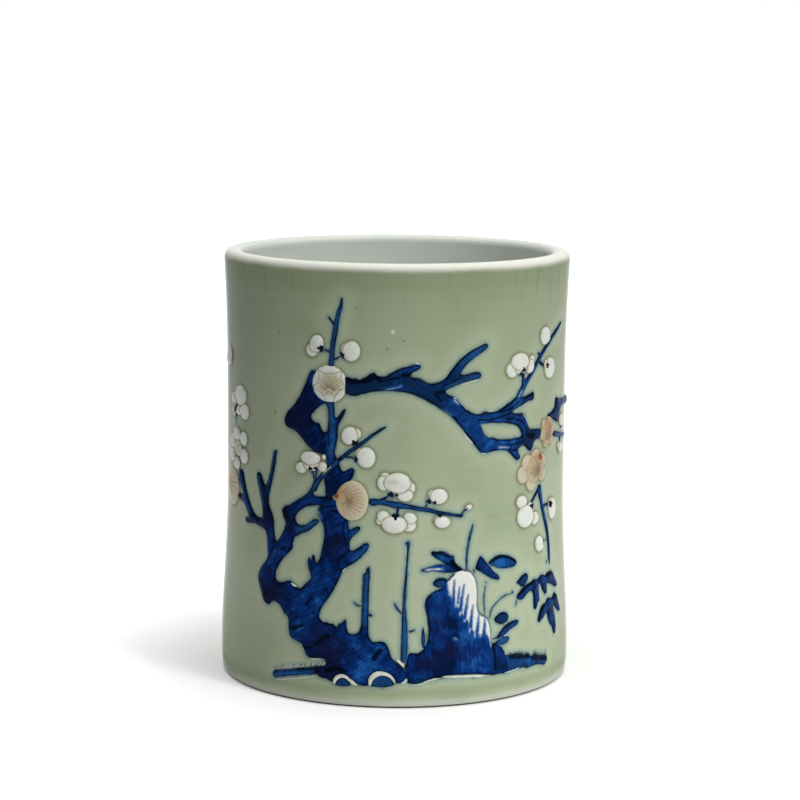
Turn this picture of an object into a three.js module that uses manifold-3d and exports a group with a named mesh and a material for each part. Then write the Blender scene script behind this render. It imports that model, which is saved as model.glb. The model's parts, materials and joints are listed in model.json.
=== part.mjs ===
// Brush pot: a thrown cylinder with a gently waisted wall, carrying a raised
// prunus tree, a garden rock and bamboo that are laid on the wall in thin relief.
// Millimetres, +Z up. The foot stands on z = 0 and the front looks along -Y.
import * as THREE from "three";
import { mergeVertices } from "three/addons/utils/BufferGeometryUtils.js";
import Module from "manifold-3d";

const wasm = await Module();
wasm.setup();

// Sizes of the thrown pot
const potHeight = 136;
const rimRadius = 55;
const waistRadius = 54.1;
const bulgeRadius = 56;
const footRadius = 54.4;
const bulgeHeight = 8;
const waistBottom = 62;
const waistTop = 98;
const wallThickness = 6;
const lipHeight = 3;
const lipSharpness = 2.6;
const footSharpness = 3;
const footRingWidth = 7;
const footRecess = 2;
const floorThickness = 8;
const floorFillet = 7;
const potSegments = 60;

// Sizes of the relief
const luteGap = 0.3;
const seam = 0.3;
const limbHeight = 0.6;
const petalHeight = 0.75;
const bankHeight = 0.55;
const leafHeight = 0.45;
const twigSlenderness = 0.6;
const edgeHeight = 0.55;
const edgeDraft = 0.06;
const columnWidth = 8;
const petalNotch = 0.16;
const shellNotch = 0.1;
const heartHollow = 0.25;

// The sheet the relief was laid out on: u runs round the pot from the middle of
// the front towards +X, and v runs up from the foot.
const sheetHeight = 136;
const sheetRadius = 54.5;

const materials = {
  celadon: new THREE.MeshStandardMaterial({ color: 0x9aa78a, roughness: 0.22, metalness: 0 }),
  cobalt: new THREE.MeshStandardMaterial({ color: 0x1b3f86, roughness: 0.25, metalness: 0 }),
  slip: new THREE.MeshStandardMaterial({ color: 0xdedfd8, roughness: 0.25, metalness: 0 }),
  buff: new THREE.MeshStandardMaterial({ color: 0xd2bd98, roughness: 0.3, metalness: 0 }),
};

const { lerp, clamp, smoothstep, degToRad } = THREE.MathUtils;

// A rounded corner that rises from 0 to 1 as t does, squarer at a higher sharpness
function roundedCorner(t, sharpness) {
  return (1 - (1 - clamp(t, 0, 1)) ** sharpness) ** (1 / sharpness);
}

// Outer radius of the wall at a height, below the lip
function wallRadius(z) {
  if (z < bulgeHeight) {
    return lerp(footRadius, bulgeRadius, roundedCorner(z / bulgeHeight, footSharpness));
  }
  if (z < waistBottom) {
    return lerp(bulgeRadius, waistRadius, smoothstep(z, bulgeHeight, waistBottom));
  }
  const flare = clamp((z - waistTop) / (potHeight - lipHeight - waistTop), 0, 1);
  return lerp(waistRadius, rimRadius, flare ** 2);
}

function spread(from, to, count) {
  return Array.from({ length: count + 1 }, (_, i) => lerp(from, to, i / count));
}

function outerProfile() {
  const heights = [
    ...spread(0, 1, 3).map((t) => bulgeHeight * t ** 2),
    ...spread(bulgeHeight, waistBottom, 6).slice(1),
    waistTop,
    ...spread(waistTop, potHeight - lipHeight, 3).slice(1),
  ];
  return heights.map((z) => new THREE.Vector2(wallRadius(z), z));
}

function lipProfile() {
  const halfWidth = wallThickness / 2;
  const middle = rimRadius - halfWidth;
  return spread(0, Math.PI, 8).slice(1, -1).map((angle) => {
    const across = Math.sign(Math.cos(angle)) * Math.abs(Math.cos(angle)) ** (2 / lipSharpness);
    const up = Math.sin(angle) ** (2 / lipSharpness);
    return new THREE.Vector2(middle + halfWidth * across, potHeight - lipHeight * (1 - up));
  });
}

function innerProfile() {
  const lowest = floorThickness + floorFillet;
  const wall = spread(potHeight - lipHeight, lowest, 4);
  const cornerRadius = wallRadius(lowest) - wallThickness - floorFillet;
  const fillet = spread(0, Math.PI / 2, 3).slice(1).map((angle) => new THREE.Vector2(
    cornerRadius + floorFillet * Math.cos(angle),
    lowest - floorFillet * Math.sin(angle),
  ));
  return [...wall.map((z) => new THREE.Vector2(wallRadius(z) - wallThickness, z)), ...fillet];
}

// The thrown pot, turned about Z: recessed base, foot ring, wall, lip, bore and floor
function thrownPot() {
  const base = [
    new THREE.Vector2(0, footRecess),
    new THREE.Vector2(footRadius - footRingWidth - footRecess, footRecess),
    new THREE.Vector2(footRadius - footRingWidth, 0),
  ];
  const floor = [new THREE.Vector2(0, floorThickness)];
  const profile = [...base, ...outerProfile(), ...lipProfile(), ...innerProfile(), ...floor];
  const turned = new THREE.LatheGeometry(profile, potSegments);
  return turned.rotateX(Math.PI / 2);
}

// A point of the sheet, standing off the wall by a distance
function onWall(u, v, off) {
  const turn = u / sheetRadius;
  const z = (v * potHeight) / sheetHeight;
  const radius = wallRadius(z) + off;
  return new THREE.Vector3(radius * Math.sin(turn), -radius * Math.cos(turn), z);
}

function merged(geometry) {
  geometry.deleteAttribute("normal");
  geometry.deleteAttribute("uv");
  return mergeVertices(geometry);
}

function volumeOf(points, index) {
  const [a, b, c] = [new THREE.Vector3(), new THREE.Vector3(), new THREE.Vector3()];
  let volume = 0;
  for (let i = 0; i < index.length; i += 3) {
    a.fromArray(points, 3 * index[i]);
    b.fromArray(points, 3 * index[i + 1]);
    c.fromArray(points, 3 * index[i + 2]);
    volume += a.dot(b.cross(c)) / 6;
  }
  return volume;
}

// A closed geometry as a solid, turned to face outwards
function solidOf(geometry) {
  const points = Float32Array.from(geometry.attributes.position.array);
  const index = Uint32Array.from(geometry.index.array);
  if (volumeOf(points, index) < 0) {
    index.reverse();
  }
  return new wasm.Manifold(new wasm.Mesh({ numProp: 3, vertProperties: points, triVerts: index }));
}

function geometryOf(solid) {
  const mesh = solid.getMesh();
  const geometry = new THREE.BufferGeometry();
  geometry.setAttribute("position", new THREE.BufferAttribute(Float32Array.from(mesh.vertProperties), 3));
  geometry.setIndex(new THREE.BufferAttribute(Uint32Array.from(mesh.triVerts), 1));
  geometry.computeVertexNormals();
  return geometry;
}

// One section of a strip of relief: flat underneath, crowned on top, between two
// sheet points at its edges. Grow widens it on every side to keep a seam clear.
function section(left, right, columns, height, grow) {
  const side = right.clone().sub(left).normalize().multiplyScalar(grow);
  const from = left.clone().sub(side);
  const to = right.clone().add(side);
  const under = [];
  const over = [];
  for (const t of spread(0, 1, columns)) {
    const inset = lerp(edgeDraft, 1 - edgeDraft, t);
    const crown = lerp(edgeHeight, 1, 1 - (2 * t - 1) ** 2);
    const low = from.clone().lerp(to, t);
    const high = from.clone().lerp(to, inset);
    under.push(onWall(low.x, low.y, luteGap - grow));
    over.unshift(onWall(high.x, high.y, luteGap + height * crown + grow));
  }
  return [...under, ...over];
}

// Sections joined one to the next and closed at both ends
function loft(sections) {
  const ring = sections[0].length;
  const columns = ring / 2 - 1;
  const last = (sections.length - 1) * ring;
  const index = [];
  for (let start = 0; start < last; start += ring) {
    for (let j = 0; j < ring; j += 1) {
      const a = start + j;
      const b = start + ((j + 1) % ring);
      index.push(a, b, a + ring, b, b + ring, a + ring);
    }
  }
  for (let j = 0; j < columns; j += 1) {
    const above = ring - 1 - j;
    index.push(j + 1, j, above, j + 1, above, above - 1);
    index.push(last + j, last + j + 1, last + above - 1, last + j, last + above - 1, last + above);
  }
  const geometry = new THREE.BufferGeometry();
  const places = sections.flat().flatMap((place) => place.toArray());
  geometry.setAttribute("position", new THREE.Float32BufferAttribute(places, 3));
  geometry.setIndex(index);
  return solidOf(geometry);
}

function columnsFor(widest) {
  return 2 * Math.max(1, Math.ceil(widest / (2 * columnWidth)));
}

// A branch, stem or leaf: stations of [u, v, width] along its middle line
function limb(stations, tallest = limbHeight) {
  return (grow) => {
    const end = stations.length - 1;
    const columns = columnsFor(Math.max(...stations.map((station) => station[2])));
    return loft(stations.map(([u, v, width], i) => {
      const [before, after] = [stations[Math.max(i - 1, 0)], stations[Math.min(i + 1, end)]];
      const along = new THREE.Vector2(after[0] - before[0], after[1] - before[1]).normalize();
      const reach = (i === end ? grow : 0) - (i === 0 ? grow : 0);
      const middle = new THREE.Vector2(u, v).addScaledVector(along, reach);
      const across = new THREE.Vector2(along.y, -along.x).multiplyScalar(width / 2);
      const height = Math.min(tallest, twigSlenderness * width);
      return section(middle.clone().sub(across), middle.clone().add(across), columns, height, grow);
    }));
  };
}

// A broad mass: stations of [v, left u, right u] from the ground up
function mass(stations, height = bankHeight) {
  return (grow) => {
    const columns = columnsFor(Math.max(...stations.map(([, left, right]) => right - left)));
    const end = stations.length - 1;
    return loft(stations.map(([v, left, right], i) => {
      const level = v + (i === end ? grow : 0) - (i === 0 ? grow : 0);
      return section(new THREE.Vector2(left, level), new THREE.Vector2(right, level), columns, height, grow);
    }));
  };
}

// A low verge: stations of [u, bottom v, top v] from left to right
function verge(stations, height = bankHeight) {
  return (grow) => {
    const end = stations.length - 1;
    return loft(stations.map(([u, bottom, top], i) => {
      const place = u + (i === end ? grow : 0) - (i === 0 ? grow : 0);
      return section(new THREE.Vector2(place, top), new THREE.Vector2(place, bottom), 2, height, grow);
    }));
  };
}

// Rings of a dome, from 0 at its middle to 1 at its rim, and the sides it has
const petalRings = [0.86];
const petalSides = 10;
const rosetteRings = [0.4, 0.84];
const rosetteRim = 0.9;
const sidesPerPetal = 5;
const shellRings = [0.5, 0.86];
const sidesPerScallop = 4;

// A dome of slip on the wall. Its outline and rise are given at each turn round it
// and each step outwards, from 0 at the middle to 1 at the rim.
function dome(u, v, sides, levels, outline, rise) {
  return (grow) => {
    const rings = [0, ...levels, 1, 0];
    const profile = rings.map((level, i) => new THREE.Vector2(level, i <= levels.length ? i : -1));
    const geometry = merged(new THREE.LatheGeometry(profile, sides));
    const position = geometry.attributes.position;
    for (let i = 0; i < position.count; i += 1) {
      const flat = new THREE.Vector2(position.getX(i), position.getZ(i));
      const [angle, level] = [flat.angle(), flat.length()];
      const reach = level * (outline(angle) + grow);
      const top = position.getY(i) >= 0;
      const off = top ? rise(angle, level) + grow : -grow;
      position.setXYZ(i, ...onWall(u + reach * Math.cos(angle), v + reach * Math.sin(angle), luteGap + off));
    }
    return solidOf(geometry);
  };
}

// The rise of a cushion: full in the middle and low at the rim
function cushion(angle, level) {
  return petalHeight * lerp(1, edgeHeight, level ** 3);
}

// A cushioned petal: [u, v, half width, half height, turn in degrees]
function petal([u, v, halfWidth, halfHeight, turn = 0]) {
  const slant = degToRad(turn);
  const oval = (angle) => {
    const lean = angle - slant;
    return 1 / Math.hypot(Math.cos(lean) / halfWidth, Math.sin(lean) / halfHeight);
  };
  return dome(u, v, petalSides, petalRings, oval, cushion);
}

// Several shapes pressed together into one piece
function pressed(...shapes) {
  return (grow) => shapes.map((shape) => shape(grow)).reduce((whole, next) => whole.add(next));
}

function petals(list) {
  return pressed(...list.map((one) => petal(one)));
}

// How far a scalloped edge is drawn in between lobes, from 0 on a lobe to 1 between two
function scallop(angle, count) {
  return 1 - Math.abs(Math.cos((angle * count) / 2));
}

// An open flower: petals evenly round a hollow heart
function rosette(u, v, radius, count, phase) {
  const lean = degToRad(phase);
  const outline = (angle) => radius * (1 - petalNotch * scallop(angle - lean, count) ** 2);
  const rise = (angle, level) => {
    if (level > rosetteRim) {
      return edgeHeight * petalHeight;
    }
    const hollow = heartHollow * (1 - level) ** 2;
    return petalHeight * (1 - hollow - petalNotch * scallop(angle - lean, count));
  };
  return dome(u, v, sidesPerPetal * count, rosetteRings, outline, rise);
}

// A flower seen from the side: a round shell, scalloped on the far side from its stalk
function shellFlower(u, v, radius, facing, count) {
  const away = degToRad(facing);
  const outline = (angle) => {
    const far = Math.max(0, Math.cos((angle - away) / 2));
    return radius * (1 - shellNotch * far * scallop(angle - away, count) ** 2);
  };
  return dome(u, v, sidesPerScallop * count, shellRings, outline, cushion);
}

// A hollow root end: an arch of white slip over a dark eye, standing on the ground
function rootArch(u, v, outer, inner) {
  const middle = (outer + inner) / 2;
  const arch = spread(165, 15, 5).map((step) => {
    const angle = degToRad(step);
    return [u + middle * Math.cos(angle), v + middle * Math.sin(angle), outer - inner];
  });
  return limb(arch);
}

const pot = new THREE.Group();
const relief = new THREE.Group();
pot.add(relief);

// Cutting a twig where it passes a neighbour can leave a crumb on the far side,
// so what stays is the twig's largest body
function largestBody(solid) {
  return solid.decompose().reduce((best, next) => (next.volume() > best.volume() ? next : best));
}

function apart(one, other) {
  const a = one.boundingBox();
  const b = other.boundingBox();
  return [0, 1, 2].some((i) => a.max[i] < b.min[i] || b.max[i] < a.min[i]);
}

// Lays a piece on the wall, trimmed so that it stops a seam short of earlier ones
const laid = [];
function lay(name, material, shape) {
  const neighbours = laid.filter((other) => !apart(shape(0), other));
  const trimmed = neighbours.reduce((solid, other) => solid.subtract(other), shape(0));
  const mesh = new THREE.Mesh(geometryOf(largestBody(trimmed)), material);
  mesh.name = name;
  relief.add(mesh);
  laid.push(shape(seam));
}

function layBlossoms() {
  const { slip, buff } = materials;
  lay("blossom_front", slip, rosette(-20.7, 99.4, 5.9, 6, 0));
  lay("blossom_shell", buff, shellFlower(-13.4, 64, 5.6, -8, 9));
  lay("blossom_beside_trunk", slip, petals([
    [-27, 76.2, 3.6, 2], [-30.3, 72.8, 2.1, 1.8], [-22.8, 73.8, 1.7, 1.6], [-26.6, 73.6, 2.4, 1.6],
  ]));
  lay("blossom_centre_upper", slip, petals([
    [0.5, 69.7, 4, 3.2], [-3.8, 69.8, 1.8, 2.3], [3.2, 65.9, 2.4, 1.8, 20], [4.2, 68.2, 1.9, 2],
  ]));
  lay("blossom_centre_lower", slip, petals([
    [-0.2, 56.9, 4, 2.7], [-3.6, 59.6, 1.9, 1.6], [4.6, 59, 2, 1.6, -20], [4.2, 56.7, 1.6, 1.5],
  ]));
  lay("blossom_right_high", slip, petals([
    [42.3, 105, 3.9, 2.8], [38.5, 102.4, 2.4, 2], [46.5, 103.3, 2.3, 2.2], [42.3, 102.6, 3, 1.6],
  ]));
  lay("blossom_buff_upper", buff, rosette(57.3, 81.5, 4.9, 6, 10));
  lay("blossom_buff_lower", buff, petals([
    [43.7, 69.7, 2.7, 2.6], [48.1, 66.3, 2.4, 2.3], [54.3, 68.7, 2.4, 2.3],
    [53.6, 73.5, 2.4, 2.3], [49.8, 74.8, 2.4, 2.2], [46, 73.6, 2.5, 2.2], [49.5, 71, 3.6, 3.4],
  ]));
  lay("blossom_drooping", slip, petals([
    [45.5, 56.4, 4, 3.6], [43.7, 61.2, 2.6, 2.1], [50.2, 55.2, 2.3, 2.1], [47.6, 58.9, 1.8, 1.5],
  ]));
  lay("blossom_left_high", slip, petals([
    [-60, 92, 4.3, 3.2], [-57, 87, 2.9, 2.5], [-65.6, 90.3, 2.5, 2],
    [-65.4, 86.4, 1.9, 1.8], [-61.5, 87.6, 3.4, 2.2],
  ]));
  lay("blossom_left_open", slip, rosette(-61.5, 75, 6.8, 6, 20));
  lay("blossom_left_shell", buff, shellFlower(-67, 62, 6, 0, 9));
}

function layBuds() {
  const { slip } = materials;
  const buds = {
    bud_top_left: [[-24.8, 111.6, 2.4, 2.5], [-26.5, 109.4, 2.1, 2]],
    bud_top_right: [[-13.5, 109.6, 2.8, 3.1], [-15.6, 110.3, 1.5, 1.7]],
    bud_trunk_upper: [[-14, 83.9, 2.7, 2.9], [-12, 84.7, 1.6, 1.6]],
    bud_trunk_lower: [[-8.9, 77.4, 2.9, 3.3], [-10.7, 78.6, 1.5, 1.5]],
    bud_centre_upper: [[13.4, 65.6, 2.9, 2.5], [11.4, 66.2, 1.5, 1.5]],
    bud_centre_lower: [[14.6, 57.4, 2.7, 1.9], [13.2, 58, 1.5, 1.3]],
    bud_twig_tip: [[23.2, 61.7, 1.3, 0.9, 20]],
    bud_right_upper: [[54.7, 112, 3, 2.9], [56.2, 110.8, 1.6, 1.4]],
    bud_right_lower: [[58.3, 101.4, 3.5, 3.4], [56, 103, 1.6, 1.5]],
    bud_drooping_right: [[61.8, 56.4, 3, 3.8], [60.4, 58.6, 1.6, 1.5]],
    bud_drooping_low: [[52.6, 46.8, 2.4, 2.6], [53.8, 45.6, 1.3, 1.3]],
    bud_edge_upper: [[70.2, 83.6, 3, 2.2], [72.4, 82.9, 1.7, 1.4]],
    bud_edge_lower: [[69, 75, 2.8, 1.9], [67.2, 75.6, 1.4, 1.2]],
    bud_left_edge: [[-70.6, 103.2, 2.9, 3.2], [-73, 102.2, 1.8, 2]],
  };
  Object.entries(buds).forEach(([name, list]) => lay(name, slip, petals(list)));
}

function layTrunk() {
  const { cobalt, slip } = materials;
  lay("root_arch_left", slip, rootArch(-15.5, 7.2, 3.2, 2));
  lay("root_arch_right", slip, rootArch(-3.5, 7.4, 4.2, 2.9));
  lay("trunk", cobalt, pressed(
    mass([
      [7.4, -20.5, -8], [8.6, -22.8, -1], [10, -24, 2.8], [12.3, -24.4, 2.6], [14.2, -25.2, 1.6],
      [16.3, -27.6, -0.9], [18.4, -29.4, -1.3], [20.2, -32.6, -2.4], [21.4, -33.3, -7.2],
      [23, -33.7, -8.2], [24.4, -33.9, -14.4], [26, -34.6, -20.6], [27.5, -36, -23.2],
      [29, -38.6, -22.9], [29.6, -43.8, -22.6], [31, -45.1, -22], [33.4, -46.4, -20.5],
      [35.6, -47.5, -19],
    ], limbHeight),
    limb([
      [-24.4, 34, 10.5], [-22.9, 38, 9.6], [-20.7, 42, 8.8], [-18.9, 46, 8.6],
      [-18.2, 50, 8.6], [-18.2, 54, 8.1], [-18.9, 57.5, 7.6], [-20, 60.2, 5.4],
    ]),
    limb([[-16.5, 44.6, 3.4], [-12.3, 47, 2.6], [-9.8, 49, 2], [-8, 51, 0.8]]),
    limb([[-16, 54.4, 2.8], [-13, 55, 1.8], [-10.5, 55.8, 0.6]]),
    limb([[-22, 56.5, 2.4], [-24.3, 60, 0.6]]),
    limb([[-17.3, 22.6, 3.4], [-15.3, 25, 1.7], [-14.5, 27.2, 0.5]]),
    limb([[-24.6, 38.5, 2.4], [-26.3, 42.5, 1.2], [-27.3, 44.6, 0.5]]),
    limb([[-25.6, 40.8, 1.2], [-25.8, 46, 0.5]]),
  ));
  lay("trunk_upper", cobalt, pressed(
    limb([
      [-20.6, 65.4, 3], [-20.2, 68, 4.4], [-19.8, 71, 5], [-19.3, 74, 4.6],
      [-19.8, 77.4, 4.6], [-21.6, 80.2, 5.4], [-24.2, 82.2, 5.8], [-27.2, 84, 6.4],
      [-30.8, 86, 6.2], [-32.6, 88.2, 6.8], [-31.2, 91, 7.2], [-28.6, 94.4, 8],
      [-26.2, 98.4, 7.6], [-24.6, 102, 5],
    ]),
    limb([[-19.8, 78.5, 3.4], [-19.6, 83, 3], [-19.4, 87, 3.1], [-20, 90.5, 2.9], [-20.6, 95, 2.6]]),
    limb([[-33, 87.3, 4], [-36.2, 87.2, 2]]),
    limb([[-18.9, 88.4, 1.8], [-17, 90.3, 1.1], [-15.7, 91.4, 0.5]]),
    limb([[-18.5, 70.2, 2.6], [-14.8, 71.6, 2.6], [-13, 73.4, 0.9]]),
    limb([[-26.4, 97, 3.4], [-22, 93.6, 2]]),
  ));
  lay("twig_top", cobalt, pressed(
    limb([
      [-20.4, 104.5, 1.8], [-19.5, 110, 1.7], [-19, 115, 1.5],
      [-17.6, 120, 1.5], [-16.9, 122.5, 1.2], [-16.3, 126, 0.5],
    ]),
    limb([[-19.1, 117.4, 1.1], [-21, 119.6, 0.6]]),
  ));
  lay("twig_upper", cobalt, limb([
    [-16.9, 76.7, 1.2], [-14, 78.6, 1], [-11, 81, 0.9], [-8, 83.8, 0.8], [-5, 85.7, 0.7], [-1.8, 87.2, 0.5],
  ]));
  lay("twig_middle", cobalt, limb([
    [-8.2, 64, 2], [-3, 63.8, 1.6], [0, 63, 1.3], [5, 62.2, 1.1],
    [10, 61.3, 0.9], [15, 60.3, 0.8], [20.3, 59.2, 0.6],
  ]));
}

function layLeftBranches() {
  const { cobalt } = materials;
  lay("branch_left", cobalt, pressed(
    limb([
      [-43.2, 36.4, 8.4], [-43.2, 38.6, 7.2], [-41.6, 42.2, 6.2], [-41.5, 46, 4.8],
      [-42.2, 49.5, 3.6], [-42.9, 53.5, 3.6], [-44.3, 57, 3.4], [-45, 60.4, 3],
    ]),
    limb([[-44.9, 59, 2.8], [-47, 63, 2.4], [-49.3, 69, 2.1]]),
    limb([[-44.4, 59.6, 2.4], [-43.2, 68, 1.7], [-41.8, 73, 1.2], [-40.5, 77.5, 0.6]]),
    limb([[-43, 53.2, 2.6], [-48, 54, 2.2], [-52, 53.6, 1.6], [-56, 53.3, 1]]),
    limb([[-46, 53.9, 2.4], [-52, 57.5, 2.3], [-55, 61, 2.2], [-57.5, 65, 2], [-59.5, 68, 1.8]]),
    limb([[-54.6, 60, 1.5], [-58.5, 60.2, 1.3], [-62, 59.7, 1]]),
    limb([[-57, 64.2, 1.3], [-62, 64.5, 0.9]]),
  ));
  lay("branch_crossing", cobalt, pressed(
    limb([
      [-38.2, 46, 4.6], [-37.1, 48.2, 5.4], [-35.8, 50.5, 5], [-34.4, 53.5, 4.4], [-34.2, 56.3, 4.2],
      [-33.9, 59, 4.4], [-31.6, 61.2, 3.2], [-28.4, 63.1, 3], [-25, 63.4, 3.2], [-21.5, 63.3, 2.8],
      [-18.8, 63.5, 1.8],
    ]),
    limb([[-35.5, 58, 2.4], [-37.6, 58.3, 1.6]]),
    limb([[-34, 52.8, 3], [-30, 53.8, 2.2], [-27, 55.3, 1.8], [-24.4, 56.9, 0.7]]),
    limb([[-28.4, 63.6, 1.8], [-26, 66.8, 1.4], [-25.2, 69.5, 1]]),
  ));
  lay("branch_edge_left", cobalt, pressed(
    limb([
      [-64.6, 81.5, 1.2], [-67, 85.5, 1.8], [-69.6, 90, 2.1],
      [-72, 94, 2.1], [-74, 98, 1.4], [-75.5, 101, 0.7],
    ]),
    limb([[-69.8, 91, 2.4], [-74, 91.5, 4.5], [-79, 91, 5], [-85, 88.5, 4], [-91, 84, 2.4], [-96, 79, 1.2]]),
  ));
}

function layRightBranches() {
  const { cobalt } = materials;
  lay("bough", cobalt, pressed(
    limb([
      [-14.6, 98.8, 5.2], [-9, 99.3, 4.4], [-3, 100.1, 4.8], [2, 99.9, 6], [6.5, 98.7, 6.2],
      [10.5, 96.8, 6.8], [14, 94.2, 7.4], [17.5, 91.7, 6.6], [20.5, 89.2, 6.6], [23.2, 86.4, 7.4],
    ]),
    limb([[-7, 100.6, 2.6], [-6.4, 103.3, 0.9]]),
    limb([[0.4, 102, 3.4], [3.6, 104.2, 1.9], [7.3, 105.4, 0.7]]),
    limb([
      [8.5, 97.6, 5.2], [12.2, 98.6, 4], [15.5, 100, 4.2], [18.4, 103.6, 3.1],
      [21, 106.4, 2.7], [24.5, 108.9, 2.3], [27, 110.2, 1.8], [28.9, 110.8, 0.8],
    ]),
    limb([[12.5, 98.4, 4], [16.5, 99.8, 3.8], [20, 101.1, 2.6], [23.5, 101.8, 1.8], [26.3, 102.1, 0.9]]),
  ));
  lay("bough_loop", cobalt, pressed(
    limb([
      [22.6, 87.4, 5.6], [25.4, 86.2, 5.6], [26.2, 82.6, 5.4], [29.4, 80.9, 4.8], [33, 80.3, 3.8],
      [37, 80, 3.8], [41, 80.1, 3.4], [45, 81.2, 3.8], [48.5, 82, 3.6], [52.3, 81.9, 1.9],
    ]),
    limb([
      [23.6, 88.4, 4.4], [28, 88.9, 3.5], [32, 88.7, 3.6], [36, 88.9, 4.4],
      [40, 87.3, 3.2], [43.4, 86.6, 3.4], [45, 84.6, 3], [46.4, 82.6, 3],
    ]),
    limb([[36.2, 89.4, 4], [38.8, 91.6, 3.2], [40.3, 93.6, 2.2]]),
    limb([[38.4, 91.8, 2], [44, 93.3, 1.5], [48.6, 94.2, 0.8]]),
    limb([[38.5, 79.2, 3], [40, 77, 2.4], [41.8, 75, 1.1]]),
    limb([[47.2, 80.5, 3.2], [47.5, 77, 1.2]]),
  ));
  lay("twig_right", cobalt, pressed(
    limb([
      [40.9, 94.6, 2], [44, 97.5, 1.8], [46, 99.8, 1.3], [49, 103, 1.1], [52, 105.8, 1],
      [55, 108, 0.9], [60, 110.8, 0.8], [67, 113.8, 0.7],
    ]),
    limb([[45.2, 98.6, 1], [44, 100.5, 0.9], [43.5, 102, 0.7]]),
    limb([[50, 104, 1], [53, 103, 0.9], [55, 102.2, 0.8]]),
  ));
  lay("stem_drooping", cobalt, pressed(
    limb([
      [53.5, 65.4, 1.6], [54.5, 60, 1.4], [56, 55, 1.2], [57.5, 50, 1.1], [59, 44, 0.9], [59.5, 39.5, 0.5],
    ]),
    limb([[53.6, 64.2, 1.3], [50.5, 61.5, 1.1], [48.5, 60, 0.8]]),
    limb([[55, 58, 1.1], [58.5, 57.7, 0.8]]),
  ));
  lay("branch_edge_right", cobalt, limb([
    [57.6, 86.4, 1.5], [60.5, 86.2, 2.2], [64, 87.5, 5.6], [68, 88.9, 3.8],
    [72, 89, 3.2], [78, 90.5, 3], [85, 92.5, 2.4], [92, 93.5, 1.2],
  ]));
  lay("twig_edge_right", cobalt, limb([
    [62, 80, 1], [68, 79.3, 1.1], [75, 78.3, 1.1], [80, 77, 0.9], [86, 75, 0.6],
  ]));
}

function layGround() {
  const { cobalt } = materials;
  lay("rock", cobalt, mass([
    [8.9, 4.2, 29.4], [9.8, 3.6, 30.6], [13, 3.4, 30.8], [16, 3.8, 30.7], [17.2, 5.6, 30.7],
    [18.2, 8.4, 30.7], [20, 9.6, 30.7], [22.5, 10.3, 30.6], [25, 10.2, 30.2], [27.2, 10, 29],
    [28.6, 9.9, 26.9], [31.5, 9.5, 25.8], [34, 9.9, 26], [35.8, 11.2, 26], [37.2, 14.2, 26],
    [38.4, 16.1, 25.8], [40, 17.1, 25.4], [41.3, 18.9, 24.6], [42.1, 21, 22.4],
  ]));
  lay("mound", cobalt, mass([
    [9.6, 31.1, 36], [13.5, 31.1, 36], [15, 31.1, 35.6],
    [16.5, 31.1, 34.9], [17.7, 31.1, 33.7], [18.5, 31.1, 32.2],
  ]));
  lay("verge_right", cobalt, verge([
    [36.3, 9.3, 13.5], [39, 9.3, 13.9], [45, 9.3, 12.9], [50, 9.3, 11.5], [55, 9.4, 10.4],
  ]));
  lay("verge_left", cobalt, verge([
    [-39.4, 6.4, 8.3], [-36, 7, 9.9], [-32, 7.9, 10.5], [-28, 8.6, 11.1], [-24.8, 9, 11.9],
  ]));
  lay("reed_tall", cobalt, limb([
    [2.9, 16.2, 1.6], [3.2, 25, 1.7], [3.2, 32, 1.1], [3.4, 40, 0.8], [4.1, 51.5, 0.5],
  ]));
  lay("reed_small", cobalt, limb([[8.5, 18.6, 1.1], [8.8, 22, 1.1], [9, 25.3, 0.6]]));
  lay("stump_stem", cobalt, pressed(
    limb([[-9.2, 22.6, 3.2], [-9.1, 26, 2.2], [-9, 32, 2], [-8.9, 38, 1.9], [-9.1, 42.6, 0.8]]),
    limb([[-8.6, 39.5, 1.4], [-7.9, 43.5, 0.5]]),
  ));
}

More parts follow.
